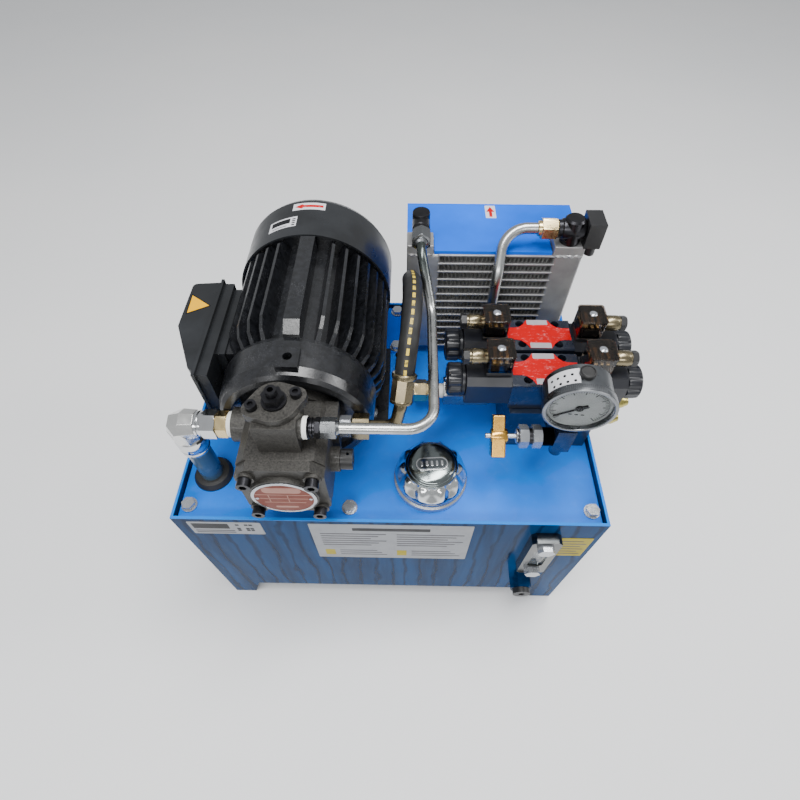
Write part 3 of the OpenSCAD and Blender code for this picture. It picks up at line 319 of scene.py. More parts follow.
def cap_chrome():
    """Chrome plating with painted reflections: painted bright on the scalloped skirt, painted dark on the
    domed crown.
    """
    look = Look("filler_cap_chrome", metallic=1.0)
    smear = look.cloud(30, 5, 0.45, 0.75, 0, 0.3, rough=0.6)
    # Painted reflection: above the shoulder the chrome is coloured dark, below it bright.
    crown = look.remap(look.axis("Z"), (CAP_SHOULDER - 1) * MM, (CAP_SHOULDER + 1) * MM)
    tone = look.mix(crown, (0.74, 0.76, 0.76), (0.20, 0.23, 0.23))
    tone = look.mix(smear, tone, (0.36, 0.38, 0.38))
    tone = look.mix(look.times(look.edges(0.8), 1.4), tone, (0.9, 0.9, 0.9))
    return scratched(look, tone, (0.1, 0.22), 0.06, 0.1)


def drain_steel():
    """Bright tube, with painted shade that turns it dull and dark where it climbs to the cooler."""
    look = Look("drain_tube_steel", metallic=1.0)
    stain = look.cloud(35, 6, 0.45, 0.75, 0, 0.5, rough=0.6)
    tone = look.mix(stain, (0.52, 0.53, 0.52), (0.22, 0.23, 0.22))
    # Painted shade: the tube is darkened above the drain's level, where it climbs.
    painted_climb_shade = look.remap(look.axis("Z"), (DRAIN_Z + 6) * MM, (DRAIN_Z + 36) * MM)
    return scratched(look, look.mix(painted_climb_shade, tone, (0.10, 0.115, 0.11)), (0.2, 0.36))


def rubber():
    """Matt black rubber with a pale bloom."""
    shade = (0.012, 0.012, 0.012)
    look = Look("black_rubber")
    cloud = look.noise(30, 5)
    bloom = look.cloud(90, 7, 0.5, 0.8, 0, 0.3, rough=0.7)
    tone = look.mix(bloom, look.shades(cloud, shade, 0.7, 1.5), scaled(shade, 5))
    return look.finish(tone, look.remap(cloud, 0.3, 0.7, 0.45, 0.65), look.noise(500, 4), 0.25, 0.2)


def plastic(name, shade, rough, grain=0.15):
    """Moulded plastic, film or dull sheet with a fine grain."""
    look = Look(name)
    tone = look.shades(look.noise(25, 4), shade, 0.85, 1.2)
    return look.finish(tone, look.cloud(60, 5, 0.3, 0.7, *rough), look.noise(700, 3), grain, 0.12)


def printed(name, shade, grime=0.12, specks=0.0):
    """Printed film: slightly uneven, with grime, fine ripples and, if asked, pale scuffs."""
    look = Look(name, specular_ior_level=0.12)
    tone = look.mix(look.cloud(60, 7, 0.5, 0.8, 0, grime, rough=0.65), shade, scaled(shade, 0.55))
    if specks:
        scuff = look.remap(look.noise(150, 8, 0.75, stretch=(1, 2.5, 1)), 0.56, 0.66, 0, specks)
        tone = look.mix(scuff, tone, (0.75, 0.7, 0.7))
    return look.finish(tone, look.cloud(30, 4, 0.3, 0.7, 0.3, 0.48), look.noise(50, 4), 0.08, 0.3)


def clear(name, shade, rough, ior=1.45):
    """Clear or smoky glass and plastic."""
    look = Look(name, transmission_weight=1.0, ior=ior)
    tone = look.mix(look.cloud(60, 5, 0.35, 0.7), shade, scaled(shade, 0.9))
    return look.finish(tone, look.cloud(30, 5, 0.3, 0.7, rough, rough + 0.08))


M = {
    "tank": tank_paint(),
    "lid": paint("lid_paint", (0.0, 0.165, 0.76), (0.3, 0.44), coat=0.0, dust=0.03, specular=0.2),
    "shroud": paint("shroud_paint", (0.0, 0.13, 0.80), (0.4, 0.55), coat=0.0, dust=0.0, specular=0.03),
    "pipe_paint": paint("pipe_paint", (0.035, 0.075, 0.12), (0.22, 0.36), coat=0.2, dust=0.12, wear=0.4),
    "enamel": speckled_enamel(),
    "black_paint": smooth_black(),
    "iron": cast_iron(),
    "zinc": metal("zinc_plate", (0.46, 0.48, 0.51), (0.16, 0.32), (0.24, 0.24, 0.24), wear=0.3,
        metallic=0.75),
    "chrome": metal("chrome_plate", (0.72, 0.73, 0.74), (0.08, 0.18), stained=0.15),
    "dark_chrome": metal("dark_chrome", (0.20, 0.22, 0.23), (0.05, 0.13), (0.10, 0.11, 0.11), wear=1.6),
    "steel": metal("bright_steel", (0.50, 0.51, 0.50), (0.24, 0.34), (0.3, 0.31, 0.3), 0.3),
    "drain_steel": drain_steel(),
    "pale_zinc": metal("pale_zinc_casting", (0.78, 0.78, 0.76), (0.12, 0.24), stained=0.15, metallic=0.92),
    "gauge_frame": metal("level_gauge_chrome", (0.09, 0.095, 0.095), (0.12, 0.24), wear=0.5),
    "cap_chrome": cap_chrome(),
    "dark_steel": metal("dark_steel", (0.24, 0.25, 0.26), (0.2, 0.36), (0.1, 0.1, 0.1)),
    "black_oxide": metal("black_oxide", (0.045, 0.045, 0.05), (0.24, 0.42), (0.02, 0.02, 0.02), wear=0.3),
    "brass": metal("brass", (0.66, 0.37, 0.08), (0.18, 0.34), (0.35, 0.2, 0.05), wear=0.3),
    "pale_brass": metal("pale_brass", (0.78, 0.62, 0.33), (0.14, 0.3), (0.5, 0.4, 0.2), wear=0.3),
    "olive_zinc": metal("olive_zinc", (0.25, 0.21, 0.13), (0.2, 0.36), (0.1, 0.08, 0.05), wear=0.6),
    "yellow_zinc": metal("yellow_zinc", (0.50, 0.43, 0.14), (0.18, 0.34), (0.26, 0.22, 0.06), wear=0.5),
    "aluminium": metal("aluminium", (0.36, 0.36, 0.36), (0.3, 0.5), (0.15, 0.15, 0.15), 0.5, metallic=0.55),
    "fin": plastic("fin_aluminium", (0.42, 0.42, 0.41), (0.4, 0.6)),
    "navy": paint("navy_enamel", (0.008, 0.014, 0.032), (0.2, 0.36), coat=0.5, dust=0.08, wear=0.2),
    "valve": paint("valve_enamel", (0.012, 0.016, 0.028), (0.2, 0.36), coat=0.5, dust=0.06, wear=0.25),
    "coil": plastic("coil_resin", (0.011, 0.012, 0.016), (0.28, 0.42)),
    "knob": plastic("knob_plastic", (0.012, 0.012, 0.013), (0.3, 0.5)),
    "rubber": rubber(),
    "tape": plastic("white_tape", (0.78, 0.78, 0.74), (0.5, 0.7), grain=0.5),
    "red": printed("red_print", (0.50, 0.001, 0.004), 0.3, specks=0.3),
    "dull_red": printed("dull_red_print", (0.17, 0.045, 0.03), 0.4),
    "rose": printed("rose_print", (0.36, 0.19, 0.15), 0.4),
    "white": printed("white_print", (0.66, 0.66, 0.69)),
    "grey_print": printed("grey_print", (0.07, 0.07, 0.08), 0.3),
    "foil": printed("plate_foil", (0.34, 0.32, 0.34), 0.5, specks=0.4),
    "black_print": printed("black_print", (0.012, 0.012, 0.014)),
    "yellow": printed("yellow_print", (0.82, 0.42, 0.0)),
    "silver_print": printed("silver_print", (0.28, 0.29, 0.31), 0.4),
    "gold_print": printed("gold_print", (0.36, 0.29, 0.01), 0.3),
    "smoke": clear("smoke_plastic", (0.52, 0.42, 0.33), 0.05),
    "glass": clear("gauge_lens", (0.98, 0.99, 0.99), 0.0, 1.08),
    "window": clear("level_window", (0.86, 0.90, 0.84), 0.04),
    "copper": metal("copper_winding", (0.55, 0.24, 0.10), (0.25, 0.4), (0.25, 0.1, 0.04)),
    "case": metal("gauge_case_steel", (0.16, 0.17, 0.18), (0.24, 0.38), (0.14, 0.14, 0.14)),
    "dial": printed("dial_face", (0.27, 0.28, 0.28), 0.3),
}

# ---- mesh tools


def piece(name, verts, faces, look, body="unit", slot=None, smooth=True, sharp=35):
    """A closed mesh from points in millimetres, riding on a CAD body."""
    data = bpy.data.meshes.new(name)
    data.from_pydata([tuple(c * MM for c in p) for p in verts], [], faces)
    bm = bmesh.new()
    bm.from_mesh(data)
    bmesh.ops.remove_doubles(bm, verts=bm.verts, dist=1e-6)
    bmesh.ops.recalc_face_normals(bm, faces=bm.faces)
    bm.to_mesh(data)
    bm.free()
    data.materials.append(M[look])
    obj = bpy.data.objects.new(name, data)
    bpy.context.scene.collection.objects.link(obj)
    if smooth:
        data.shade_smooth()
        data.set_sharp_from_angle(angle=radians(sharp))
    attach(obj, body)
    return obj


def bevel(obj, width, segments=2, angle=35):
    """Rounds the edges that are sharper than an angle in degrees."""
    modifier = obj.modifiers.new("rounding", "BEVEL")
    modifier.width = width * MM
    modifier.segments = segments
    modifier.limit_method = "ANGLE"
    modifier.angle_limit = radians(angle)
    modifier.harden_normals = True
    return obj


def frame_of(direction):
    """Rotation that takes +Z to direction and keeps +X level where it can."""
    z = Vector(direction).normalized()
    up = Y if abs(z.dot(Z)) > 0.95 else Z
    x = up.cross(z).normalized()
    y = z.cross(x)
    return Matrix((x, y, z)).transposed()


def skin(count, sides, ring=False):
    """Faces over count loops of points, capped at both ends or, for a ring, joined up."""
    faces = []
    for i in range(count - 1):
        for k in range(sides):
            j = (k + 1) % sides
            faces.append((i * sides + k, i * sides + j, (i + 1) * sides + j, (i + 1) * sides + k))
    last = (count - 1) * sides
    if ring:
        return faces + [(last + k, last + (k + 1) % sides, (k + 1) % sides, k) for k in range(sides)]
    return faces + [tuple(reversed(range(sides))), tuple(last + k for k in range(sides))]


def lathe(name, profile, at, direction, look, sides=64, radius_at=None, ring=False, **rest):
    """Solid of revolution. profile holds (radius, height) pairs from end to end, or right round for a ring.
    radius_at(radius, height, angle) may reshape it."""
    turn = frame_of(direction)
    verts = []
    for r, h in profile:
        for k in range(sides):
            a = TAU * k / sides
            rr = radius_at(r, h, a) if radius_at else r
            verts.append(Vector(at) + turn @ Vector((rr * cos(a), rr * sin(a), h)))
    return piece(name, verts, skin(len(profile), sides, ring), look, **rest)


def hexagon(name, flats, low, high, at, direction, look, **rest):
    """Hexagon with turned chamfers, from height low to high along direction."""
    corner = flats / sqrt(3)
    face = flats / 2 * 0.96
    rise = 0.72
    chamfer = [(face + (corner - face) * t, rise * t) for t in (0, 0.25, 0.5, 0.75, 1)]
    profile = [(r, low + h) for r, h in chamfer] + [(r, high - h) for r, h in reversed(chamfer)]

    def flatten(r, h, a):
        return min(r, flats / 2 / cos((a + TAU / 12) % (TAU / 6) - TAU / 12))

    return lathe(name, profile, at, direction, look, 96, flatten, sharp=25, **rest)


def unit(v):
    return Vector(v).normalized()


def rounded_route(points, radius, steps=10):
    """A polyline with its corners turned into arcs."""
    points = [Vector(p) for p in points]
    route = [points[0]]
    for a, b, c in zip(points, points[1:], points[2:]):
        back, on = unit(a - b), unit(c - b)
        half = acos(max(-1, min(1, back.dot(on)))) / 2
        centre = b + unit(back + on) * radius / sin(half)
        start = b + back * radius / tan(half) - centre
        end = b + on * radius / tan(half) - centre
        sweep = pi - 2 * half
        for i in range(steps + 1):
            t = i / steps
            blend = start * sin(sweep * (1 - t)) + end * sin(sweep * t)
            route.append(centre + blend / sin(sweep))
    route.append(points[-1])
    return route


def smooth_route(points, steps=8):
    """Catmull-Rom points through a given route."""
    p = [Vector(q) for q in points]
    p = [2 * p[0] - p[1]] + p + [2 * p[-1] - p[-2]]
    route = []
    for a, b, c, d in zip(p, p[1:], p[2:], p[3:]):
        for i in range(steps):
            t = i / steps
            route.append(0.5 * (2 * b + (c - a) * t + (2 * a - 5 * b + 4 * c - d) * t * t
                + (3 * b - a - 3 * c + d) * t ** 3))
    route.append(p[-2])
    return route


def tube(name, route, radius, look, sides=32, start=X, radius_at=None, **rest):
    """Round bar swept along a route with carried frames. radius_at(share of the route) may reshape it."""
    verts = []
    n = start
    for i, p in enumerate(route):
        t = unit(route[min(i + 1, len(route) - 1)] - route[max(i - 1, 0)])
        n = unit(n - t * n.dot(t))
        b = t.cross(n)
        r = radius_at(i / (len(route) - 1)) if radius_at else radius
        for k in range(sides):
            a = TAU * k / sides
            verts.append(p + (n * cos(a) + b * sin(a)) * r)
    return piece(name, verts, skin(len(route), sides), look, **rest)


def ribbon(name, corners, look):
    """Thin bent strip from sets of four corners: inner and outer on one edge, then on the other."""
    verts = [p for four in corners for p in four]
    end = len(verts) - 4
    faces = []
    for a in range(0, end, 4):
        for p, q in ((0, 1), (1, 3), (3, 2), (2, 0)):
            faces.append((a + p, a + q, a + 4 + q, a + 4 + p))
    faces += [(0, 1, 3, 2), (end, end + 2, end + 3, end + 1)]
    return piece(name, verts, faces, look, smooth=False)


def prism(name, outline, low, high, look, place=None, round_edges=0.0, **rest):
    """Extruded outline (points in a plane) from low to high, optionally placed by a matrix."""
    n = len(outline)
    verts = [Vector((x, y, low)) for x, y in outline] + [Vector((x, y, high)) for x, y in outline]
    if place:
        verts = [place @ p for p in verts]
    faces = [tuple(reversed(range(n))), tuple(range(n, 2 * n))]
    faces += [(k, (k + 1) % n, n + (k + 1) % n, n + k) for k in range(n)]
    obj = piece(name, verts, faces, look, **rest)
    return bevel(obj, round_edges) if round_edges else obj


def round_rect(w, h, r, steps=5, centre=(0, 0)):
    """Outline of a rectangle with round corners."""
    points = []
    for sx, sy, a0 in ((1, 1, 0), (-1, 1, 90), (-1, -1, 180), (1, -1, 270)):
        for i in range(steps + 1):
            a = radians(a0 + 90 * i / steps)
            points.append((centre[0] + sx * (w / 2 - r) + r * cos(a),
                centre[1] + sy * (h / 2 - r) + r * sin(a)))
    return points


def block(name, low, high, look, rounding, **rest):
    """Block with rounded edges between two corners."""
    (x0, y0, z0), (x1, y1, z1) = low, high
    outline = [(x0, y0), (x1, y0), (x1, y1), (x0, y1)]
    return prism(name, outline, z0, z1, look, round_edges=rounding, **rest)


# ---- CAD nodes that stay


def dress(node, look, rounding):
    """A CAD node keeps its shape and takes a material, with its edges rounded."""
    obj = NODES[node]
    obj.data.materials.clear()
    obj.data.materials.append(M[look])
    obj.data.shade_smooth()
    obj.data.set_sharp_from_angle(angle=radians(32))
    if rounding:
        bevel(obj, rounding)


# The look of each node that stays, and how far its edges are rounded.
DRESSED = {
    "tank": {"tank_body": 0.8},
    "rubber": {"lid_gasket": 0, "suction_grommet": 0.4},
    "lid": {"lid_plate": 0.6},
    "zinc": {"flange_bolts": 0.5, "level_gauge_bolts": 0.6, "filler_neck": 0.4},
    "knob": {"drain_plug": 0.6, "motor_fan": 0.3, "flow_knob": 0.8, "cooler_fan": 0.3,
        "cooler_fan_motor": 0.3, "temperature_switch": 1.6},
    "gauge_frame": {"level_gauge_housing": 0.6},
    "window": {"level_gauge_window": 0.4},
    "steel": {"filler_basket": 0, "suction_strainer": 0, "motor_rotor": 0, "pump_rotor": 0,
        "pump_cam_ring": 0.3},
    "pipe_paint": {"suction_pipe": 0},
    "enamel": {"motor_frame": 1.2, "motor_end_bells": 1.6},
    "copper": {"motor_stator": 0},
    "chrome": {"motor_bearings": 0.3, "front_spool": 0.3, "rear_spool": 0.3},
    "black_paint": {"fan_cowl": 0.5, "terminal_box": 0.6, "terminal_box_cover": 1.4},
    "iron": {"pump_body": 1.4, "pump_cover": 1.6, "pump_bonnet": 1.0},
    "black_oxide": {"pressure_screw": 0.5, "pressure_lock_nut": 0.7, "socket_screws": 0.5},
    "shroud": {"cooler_shroud": 0.8},
    "navy": {"valve_manifold": 1.0, "gauge_block": 0.8},
    "valve": {"valve_bodies": 0.6},
    "coil": {"solenoid_coils": 1.4},
    "case": {"gauge_case": 0.6},
    "black_print": {"gauge_needle": 0},
    "glass": {"gauge_glass": 0.2},
}

# ---- hose and tubes

# The hose's middle line from the pump's ferrule to the valve's, then its radius and a ferrule's length.
HOSE_ROUTE = [(15, -82, 431), (17, -71, 445), (19, -56, 455), (21, -38, 462), (22, -18, 465),
    (22, 1, 463), (21, 18, 456), (20, 34, 445), (20, 46, 431), (20, 54, 414), (20, 58, 396),
    (19, 58, 378), (18, 53, 360), (17, 44, 343), (15, 31, 329)]
HOSE_R = 9.5
FERRULE = 30
# The marks: how many, how much of each beat one takes, and their middle and half width in turns.
MARKS = 30.0
MARK_SHARE = 0.6
MARK_TURN = 0.75
MARK_HALF = 0.024


def hose_material():
    """Black hose cover with wrapped texture and a line of plain yellow marks along it."""
    look = Look("hose_cover")
    uv = look.add("ShaderNodeTexCoord").outputs["UV"]
    split = look.add("ShaderNodeSeparateXYZ", {0: uv}).outputs
    beat = look.math("FRACT", look.times(split["X"], MARKS))
    band = look.math("COMPARE", split["Y"], MARK_TURN)
    band.node.inputs[2].default_value = MARK_HALF
    mark = look.times(look.math("LESS_THAN", beat, MARK_SHARE), band)
    worn = look.times(mark, look.cloud(260, 5, 0.3, 0.5, 0.2, 0.9))
    tone = look.mix(look.cloud(60, 6, 0.3, 0.7), (0.004, 0.004, 0.004), (0.016, 0.016, 0.016))
    tone = look.mix(worn, tone, (0.72, 0.52, 0.06))
    return look.finish(tone, look.cloud(90, 5, 0.3, 0.7, 0.42, 0.6), look.noise(420, 5), 0.35, 0.25)


def make_hose():
    """The hose, with coordinates that run along it and round it for its marks."""
    M["hose"] = hose_material()
    route = smooth_route(HOSE_ROUTE, 10)
    sides = 40
    hose = tube("pressure_hose_line", route, HOSE_R, "hose", sides, slot="hose_rubber", sharp=60)
    layer = hose.data.uv_layers.new(name="along")
    total = sum((b - a).length for a, b in zip(route, route[1:]))
    reach = [0.0]
    for a, b in zip(route, route[1:]):
        reach.append(reach[-1] + (b - a).length / total)
    for poly in hose.data.polygons:
        if len(poly.vertices) != 4:
            continue
        turns = [hose.data.loops[i].vertex_index % sides / sides for i in poly.loop_indices]
        wraps = max(turns) - min(turns) > 0.5
        for i, turn in zip(poly.loop_indices, turns):
            ring = hose.data.loops[i].vertex_index // sides
            over = 1 if wraps and turn < 0.5 else 0
            layer.data[i].uv = (reach[min(ring, len(reach) - 1)], turn + over)
    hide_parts("pressure_hose")


def ferrule(name, start, end, look):
    """Crimped ferrule: eight pressed flats between two round collars."""
    axis = Vector(end) - Vector(start)
    length = axis.length

    def crimp(r, h, a):
        flat = cos(pi / 8) / cos((a + pi / 8) % (pi / 4) - pi / 8)
        pressed = 3 < h < length - 5
        return r * (flat if pressed else 1)

    profile = [(8.5, 0), (10.8, 0.4), (11.2, 1.6), (11.2, 3), (11.4, 3.6), (11.4, length - 6),
        (11.8, length - 5), (12.3, length - 3.6), (12.3, length - 1), (11.6, length - 0.2), (HOSE_R, length)]
    return lathe(name, profile, start, axis, look, 64, crimp, slot="fitting_olive", sharp=25)


def make_hose_fittings():
    first, last = Vector(HOSE_ROUTE[0]), Vector(HOSE_ROUTE[-1])
    enter = unit(Vector(HOSE_ROUTE[1]) - first)
    leave = unit(last - Vector(HOSE_ROUTE[-2]))
    near = first - enter * FERRULE
    far = last + leave * FERRULE
    port = Vector((0, PRESSURE_Y, PORT_Z))
    route = rounded_route([(-19, PRESSURE_Y, PORT_Z), (6, PRESSURE_Y, PORT_Z), near - enter * 4,
        near + enter * 3], 13)
    parts = [
        ferrule("hose_ferrule_pump", near, first, "olive_zinc"),
        tube("hose_elbow_pump", route, 6.5, "olive_zinc", 28, Z),
        hexagon("hose_nut_pump", 23, -36, -19, port, X, "olive_zinc"),
        hexagon("hose_adapter_pump", 19, -49, -37, port, X, "zinc"),
        lathe("hose_spigot_pump", [(7.5, -64), (8, -63), (8, -19)], port, X, "olive_zinc"),
    ]
    inlet_y, inlet_z = INLET[1], INLET[2]
    route = rounded_route([INLET, (12, inlet_y, inlet_z), far + leave * 3, far - leave * 3], 6)
    port = Vector((0, inlet_y, inlet_z))
    tape = [(8, 53.5), (9, 54), (9.2, 56), (8.8, 58), (9.2, 60), (9, 62)]
    parts += [
        ferrule("hose_ferrule_valve", far, last, "olive_zinc"),
        tube("hose_elbow_valve", route, 6.5, "olive_zinc", 28, Z),
        hexagon("hose_nut_valve", 24, 26, 42, port, X, "pale_brass"),
        hexagon("hose_adapter_valve", 22, 42, 54, port, X, "pale_brass"),
        lathe("hose_tape_valve", tape, port, X, "tape"),
    ]
    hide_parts("hose_fittings")


def make_tubes():
    drain = rounded_route([(-44, DRAIN_Y, DRAIN_Z), (42, DRAIN_Y, DRAIN_Z), (42, 2, DRAIN_Z),
        (LEFT_PORT[0], 43, LEFT_PORT[2]), (LEFT_PORT[0], 56, LEFT_PORT[2])], 24, 14)
    line = tube("drain_line", drain, 5, "drain_steel", 32, Z, slot="tube_steel")
    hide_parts("drain_tube")
    back = rounded_route([(160, RIGHT_PORT[1], RIGHT_PORT[2]), (122, RIGHT_PORT[1], RIGHT_PORT[2]),
        (RETURN[0], RETURN[1], 430), RETURN], 28, 14)
    line = tube("return_line", back, 6, "steel", 32, Y, slot="tube_steel")
    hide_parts("return_tube")


def make_tube_fittings():
    port = Vector((0, DRAIN_Y, DRAIN_Z))
    body = {"slot": "fitting_black"}
    tape = [(9.6, -74), (10.4, -73.4), (10.4, -72), (10.0, -71.4), (10.6, -70.6), (10.2, -69.5)]
    first = lathe("drain_tape_pump", tape, port, X, "tape")
    rings = [(9.8, -69.4), (10.2, -68.5), (8.4, -67.4), (8.4, -66.6), (9.4, -66), (9.4, -65), (8.2, -64.4),
        (8.2, -62)]
    lathe("drain_adapter_pump", rings, port, X, "black_oxide", **body)
    hexagon("drain_body_pump", 17, -63, -58, port, X, "black_oxide", **body)
    hexagon("drain_nut_pump", 17, -58, -44, port, X, "dark_steel", **body)
    lathe("drain_olive_pump", [(6.8, -44.2), (6.4, -43), (5.1, -41.5)], port, X, "dark_steel", **body)
    at = Vector((LEFT_PORT[0], 0, LEFT_PORT[2]))
    hexagon("drain_nut_cooler", 19, 57, 73, at, Y, "dark_steel", **body)
    lathe("drain_collar_cooler", [(5.1, 53), (7, 54.5), (7.4, 57.2)], at, Y, "dark_steel", **body)
    lathe("drain_throat_cooler", [(7.5, 72.8), (8.6, 74), (8.6, 78), (9.5, 79), (9.5, 104), (8, 106)], at, Y,
        "black_oxide", **body)
    at = Vector((LEFT_PORT[0], LEFT_PORT[1], 0))
    hexagon("drain_elbow_cooler", 19, 450, 458, at, Z, "black_oxide", **body)
    stem = [(8.5, 457), (9.5, 458), (9.5, 483.4), (9, 484.4), (6, 484.9)]
    lathe("drain_stem_cooler", stem, at, Z, "black_oxide", **body)
    at = Vector((RIGHT_PORT[0], RIGHT_PORT[1], 0))
    stem = [(9, 450), (11, 450.5), (11.5, 453), (11.5, 466), (11, 478), (9, 480), (4, 480.5)]
    lathe("return_stem_cooler", stem, at, Z, "black_oxide", **body)
    at = Vector((0, RIGHT_PORT[1], RIGHT_PORT[2]))
    hexagon("return_nut_cooler", 21, 161, 178, at, X, "pale_brass", **body)
    lathe("return_sleeve_cooler", [(6.2, 157), (8, 158), (8.4, 161.5)], at, X, "pale_brass", **body)
    lathe("return_throat_cooler", [(8, 177.5), (9.8, 179), (9.8, 183), (11, 184), (11.5, 186), (11.5, 206),
        (10, 209)], at, X, "black_oxide", **body)
    at = Vector((RETURN[0], RETURN[1], 0))
    hexagon("return_nut_tank", 22, 280, 292, at, Z, "dark_steel", **body)
    lathe("return_socket_tank", [(7.9, 243), (8, 244), (8, 280)], at, Z, "dark_steel", **body)
    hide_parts("tube_fittings")


# ---- suction line


def make_suction():
    at = Vector((SUCTION[0], SUCTION[1], 0))
    port = Vector((0, SUCTION[1], SUCTION[2]))
    body = {"slot": "pipe_chrome"}
    collar = [(13.2, 336), (14.6, 337), (14.8, 339), (14.2, 340), (14.2, 343), (15.6, 345), (15.8, 358),
        (14.2, 361)]
    first = lathe("suction_collar", collar, at, Z, "chrome", **body)
    corner = SUCTION - X * 2 - Z
    elbow = rounded_route([(SUCTION[0], SUCTION[1], 350), corner, (-191, SUCTION[1], SUCTION[2])], 5, 2)
    bend = tube("suction_bend", elbow, 14.6, "pale_zinc", 8, Vector((1, 0.41, 0)), sharp=20,
        radius_at=lambda t: 14.2 + 2.2 * sin(pi * t), **body)
    bevel(bend, 1.6, 3, 20)
    rings = [(11, -192), (13.4, -191), (13.4, -188.6), (12.4, -188), (13, -187), (13, -185)]
    lathe("suction_swivel", rings, port, X, "chrome", **body)
    hexagon("suction_nut", 26, -185, -170, port, X, "chrome", **body)
    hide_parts("suction_elbow")
    brass = hexagon("suction_adapter_hex", 24, -170, -159, port, X, "pale_brass", slot="brass")
    tape = [(12, -159), (13, -158.4), (13.2, -157), (12.6, -156), (13.2, -154.8), (12.6, -153)]
    lathe("suction_tape", tape, port, X, "tape")
    lathe("suction_spigot", [(9.9, -153), (10, -152), (10, -143.5)], port, X, "pale_brass")
    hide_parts("suction_adapter")


# ---- filler cap


def make_filler_cap():
    """Chrome screw cap: ten deep finger scallops under a stepped, domed crown with an oval plaque."""
    low = span("filler_cap")[0]
    base = Vector((FILLER[0], FILLER[1], low[2]))
    profile = [(34.5, 0), (38.5, 0), (39.8, 0.8), (40, 2.2), (39.6, 3.6), (38.6, 4.4), (39.4, 5.4),
        (40.6, 6.4), (40.8, 8), (40, 10.6), (38.8, 13.4), (37.4, 16.2), (35.8, 18.8), (34, 21), (32, 22.6),
        (30.2, 23.6), (29.4, 24.4), (29.2, 25.4), (28.4, 26.2), (27, 26.6), (26.4, 27.6), (25.8, 28.8),
        (24.4, 29.8), (21, 30.8), (16, 31.7), (10, 32.3), (0.5, 32.5)]

    def scallops(r, h, a):
        if not 5 < h < 24:
            return r
        fade = min(1, (h - 5) / 9, (24 - h) / 1.6)
        return r - 4.0 * fade * (0.5 - 0.5 * cos(10 * a))

    cap = lathe("filler_cap_shell", profile, base, (0, 0, 1), "cap_chrome", 240, scallops, body="filler_lid",
        slot="chrome", sharp=60)
    place = Matrix.Translation(base + Vector((0, -3, 31.0))) @ Matrix.Rotation(radians(4), 4, "Z")
    body = {"body": "filler_lid", "slot": "chrome"}
    prism("filler_cap_plaque", round_rect(36, 16, 7.9, 8), 0, 2.4, "chrome", place, 0.5, **body)
    prism("filler_cap_field", round_rect(32.6, 12.6, 6.2, 8), 1, 2.6, "dark_chrome", place, 0.2, **body)
    for k in range(5):
        bar = round_rect(3, 6.4, 1.2, 4, (-11.2 + 5.6 * k, 0))
        prism("filler_cap_bar_%d" % k, bar, 1, 3.2, "chrome", place, 0.4, **body)
    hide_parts("filler_cap")


# ---- oil cooler

CORE_X = (54, 180)
CORE_Y = (83, 113)
CORE_Z = (287, 437)
CORE_ROWS = 13
FIN_WAVE = 4.6
FIN_HALF = 0.35


def fin_strip(z0, z1):
    """One corrugated fin between two tubes, as a folded ribbon with wavy walls."""
    verts, faces = [], []
    count = int((CORE_X[1] - CORE_X[0]) / FIN_WAVE)
    depth = [CORE_Y[0] + 1.2 + k * 7 for k in range(5)]
    for row, y in enumerate(depth):
        shift = 0.9 * sin(row * 1.9)
        for i in range(count * 2 + 1):
            x = CORE_X[0] + 0.6 + i * FIN_WAVE / 2 * 0.995 + shift
            z = z0 if i % 2 == 0 else z1
            verts += [Vector((x - FIN_HALF, y, z)), Vector((x + FIN_HALF, y, z))]
    line = (count * 2 + 1) * 2
    for row in range(len(depth) - 1):
        for i in range(count * 4):
            q = row * line + i
            faces.append((q, q + 2, q + 2 + line, q + line))
    return verts, faces


def make_cooler():
    """Fins between flat tubes, with a header tank, a port block and its weld at each side."""
    low, high = span("cooler_core")
    pitch = (CORE_Z[1] - CORE_Z[0]) / CORE_ROWS
    verts, faces = [], []
    for k in range(CORE_ROWS):
        v, f = fin_strip(CORE_Z[0] + k * pitch + 1.2, CORE_Z[0] + (k + 1) * pitch - 1.2)
        faces += [tuple(i + len(verts) for i in face) for face in f]
        verts += v
    fins = piece("cooler_fins", verts, faces, "fin", slot="cooler_aluminium", smooth=False)
    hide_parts("cooler_core")

    def bar(name, low, high, rounding):
        block("cooler_" + name, low, high, "aluminium", rounding, slot="cooler_aluminium")

    for k in range(CORE_ROWS + 1):
        z = CORE_Z[0] + k * pitch
        bar("tube_%02d" % k, (CORE_X[0] - 4, CORE_Y[0] - 0.1, z - 1.3),
            (CORE_X[1] + 4, CORE_Y[1], z + 1.3), 1.1)
    block("cooler_back_shade", (CORE_X[0], CORE_Y[1] - 1.5, CORE_Z[0]),
        (CORE_X[1], CORE_Y[1] - 0.5, CORE_Z[1]), "black_oxide", 0.2)
    for side, x0, x1 in (("left", low[0], CORE_X[0] - 1), ("right", CORE_X[1] + 1, high[0])):
        bar("header_" + side, (x0, CORE_Y[0], low[2]), (x1, CORE_Y[1] - 0.5, CORE_Z[1] + 1), 3.0)
    for side, x0, x1 in (("left", low[0], 45), ("right", high[0] - 34, high[0])):
        bar("port_" + side, (x0, CORE_Y[0] + 0.5, CORE_Z[1] - 2), (x1, 109, high[2]), 1.2)
        route = [Vector((x0 + 1 + (x1 - x0 - 2) * i / 14, CORE_Y[0] + 0.6 + 0.5 * sin(i * 2.1),
            CORE_Z[1] + 0.8 + 0.5 * cos(i * 1.7))) for i in range(15)]
        tube("cooler_weld_" + side, route, 1.9, "aluminium", 10, Z, lambda t: 1.7 + 0.4 * sin(t * 60))


# ---- valves


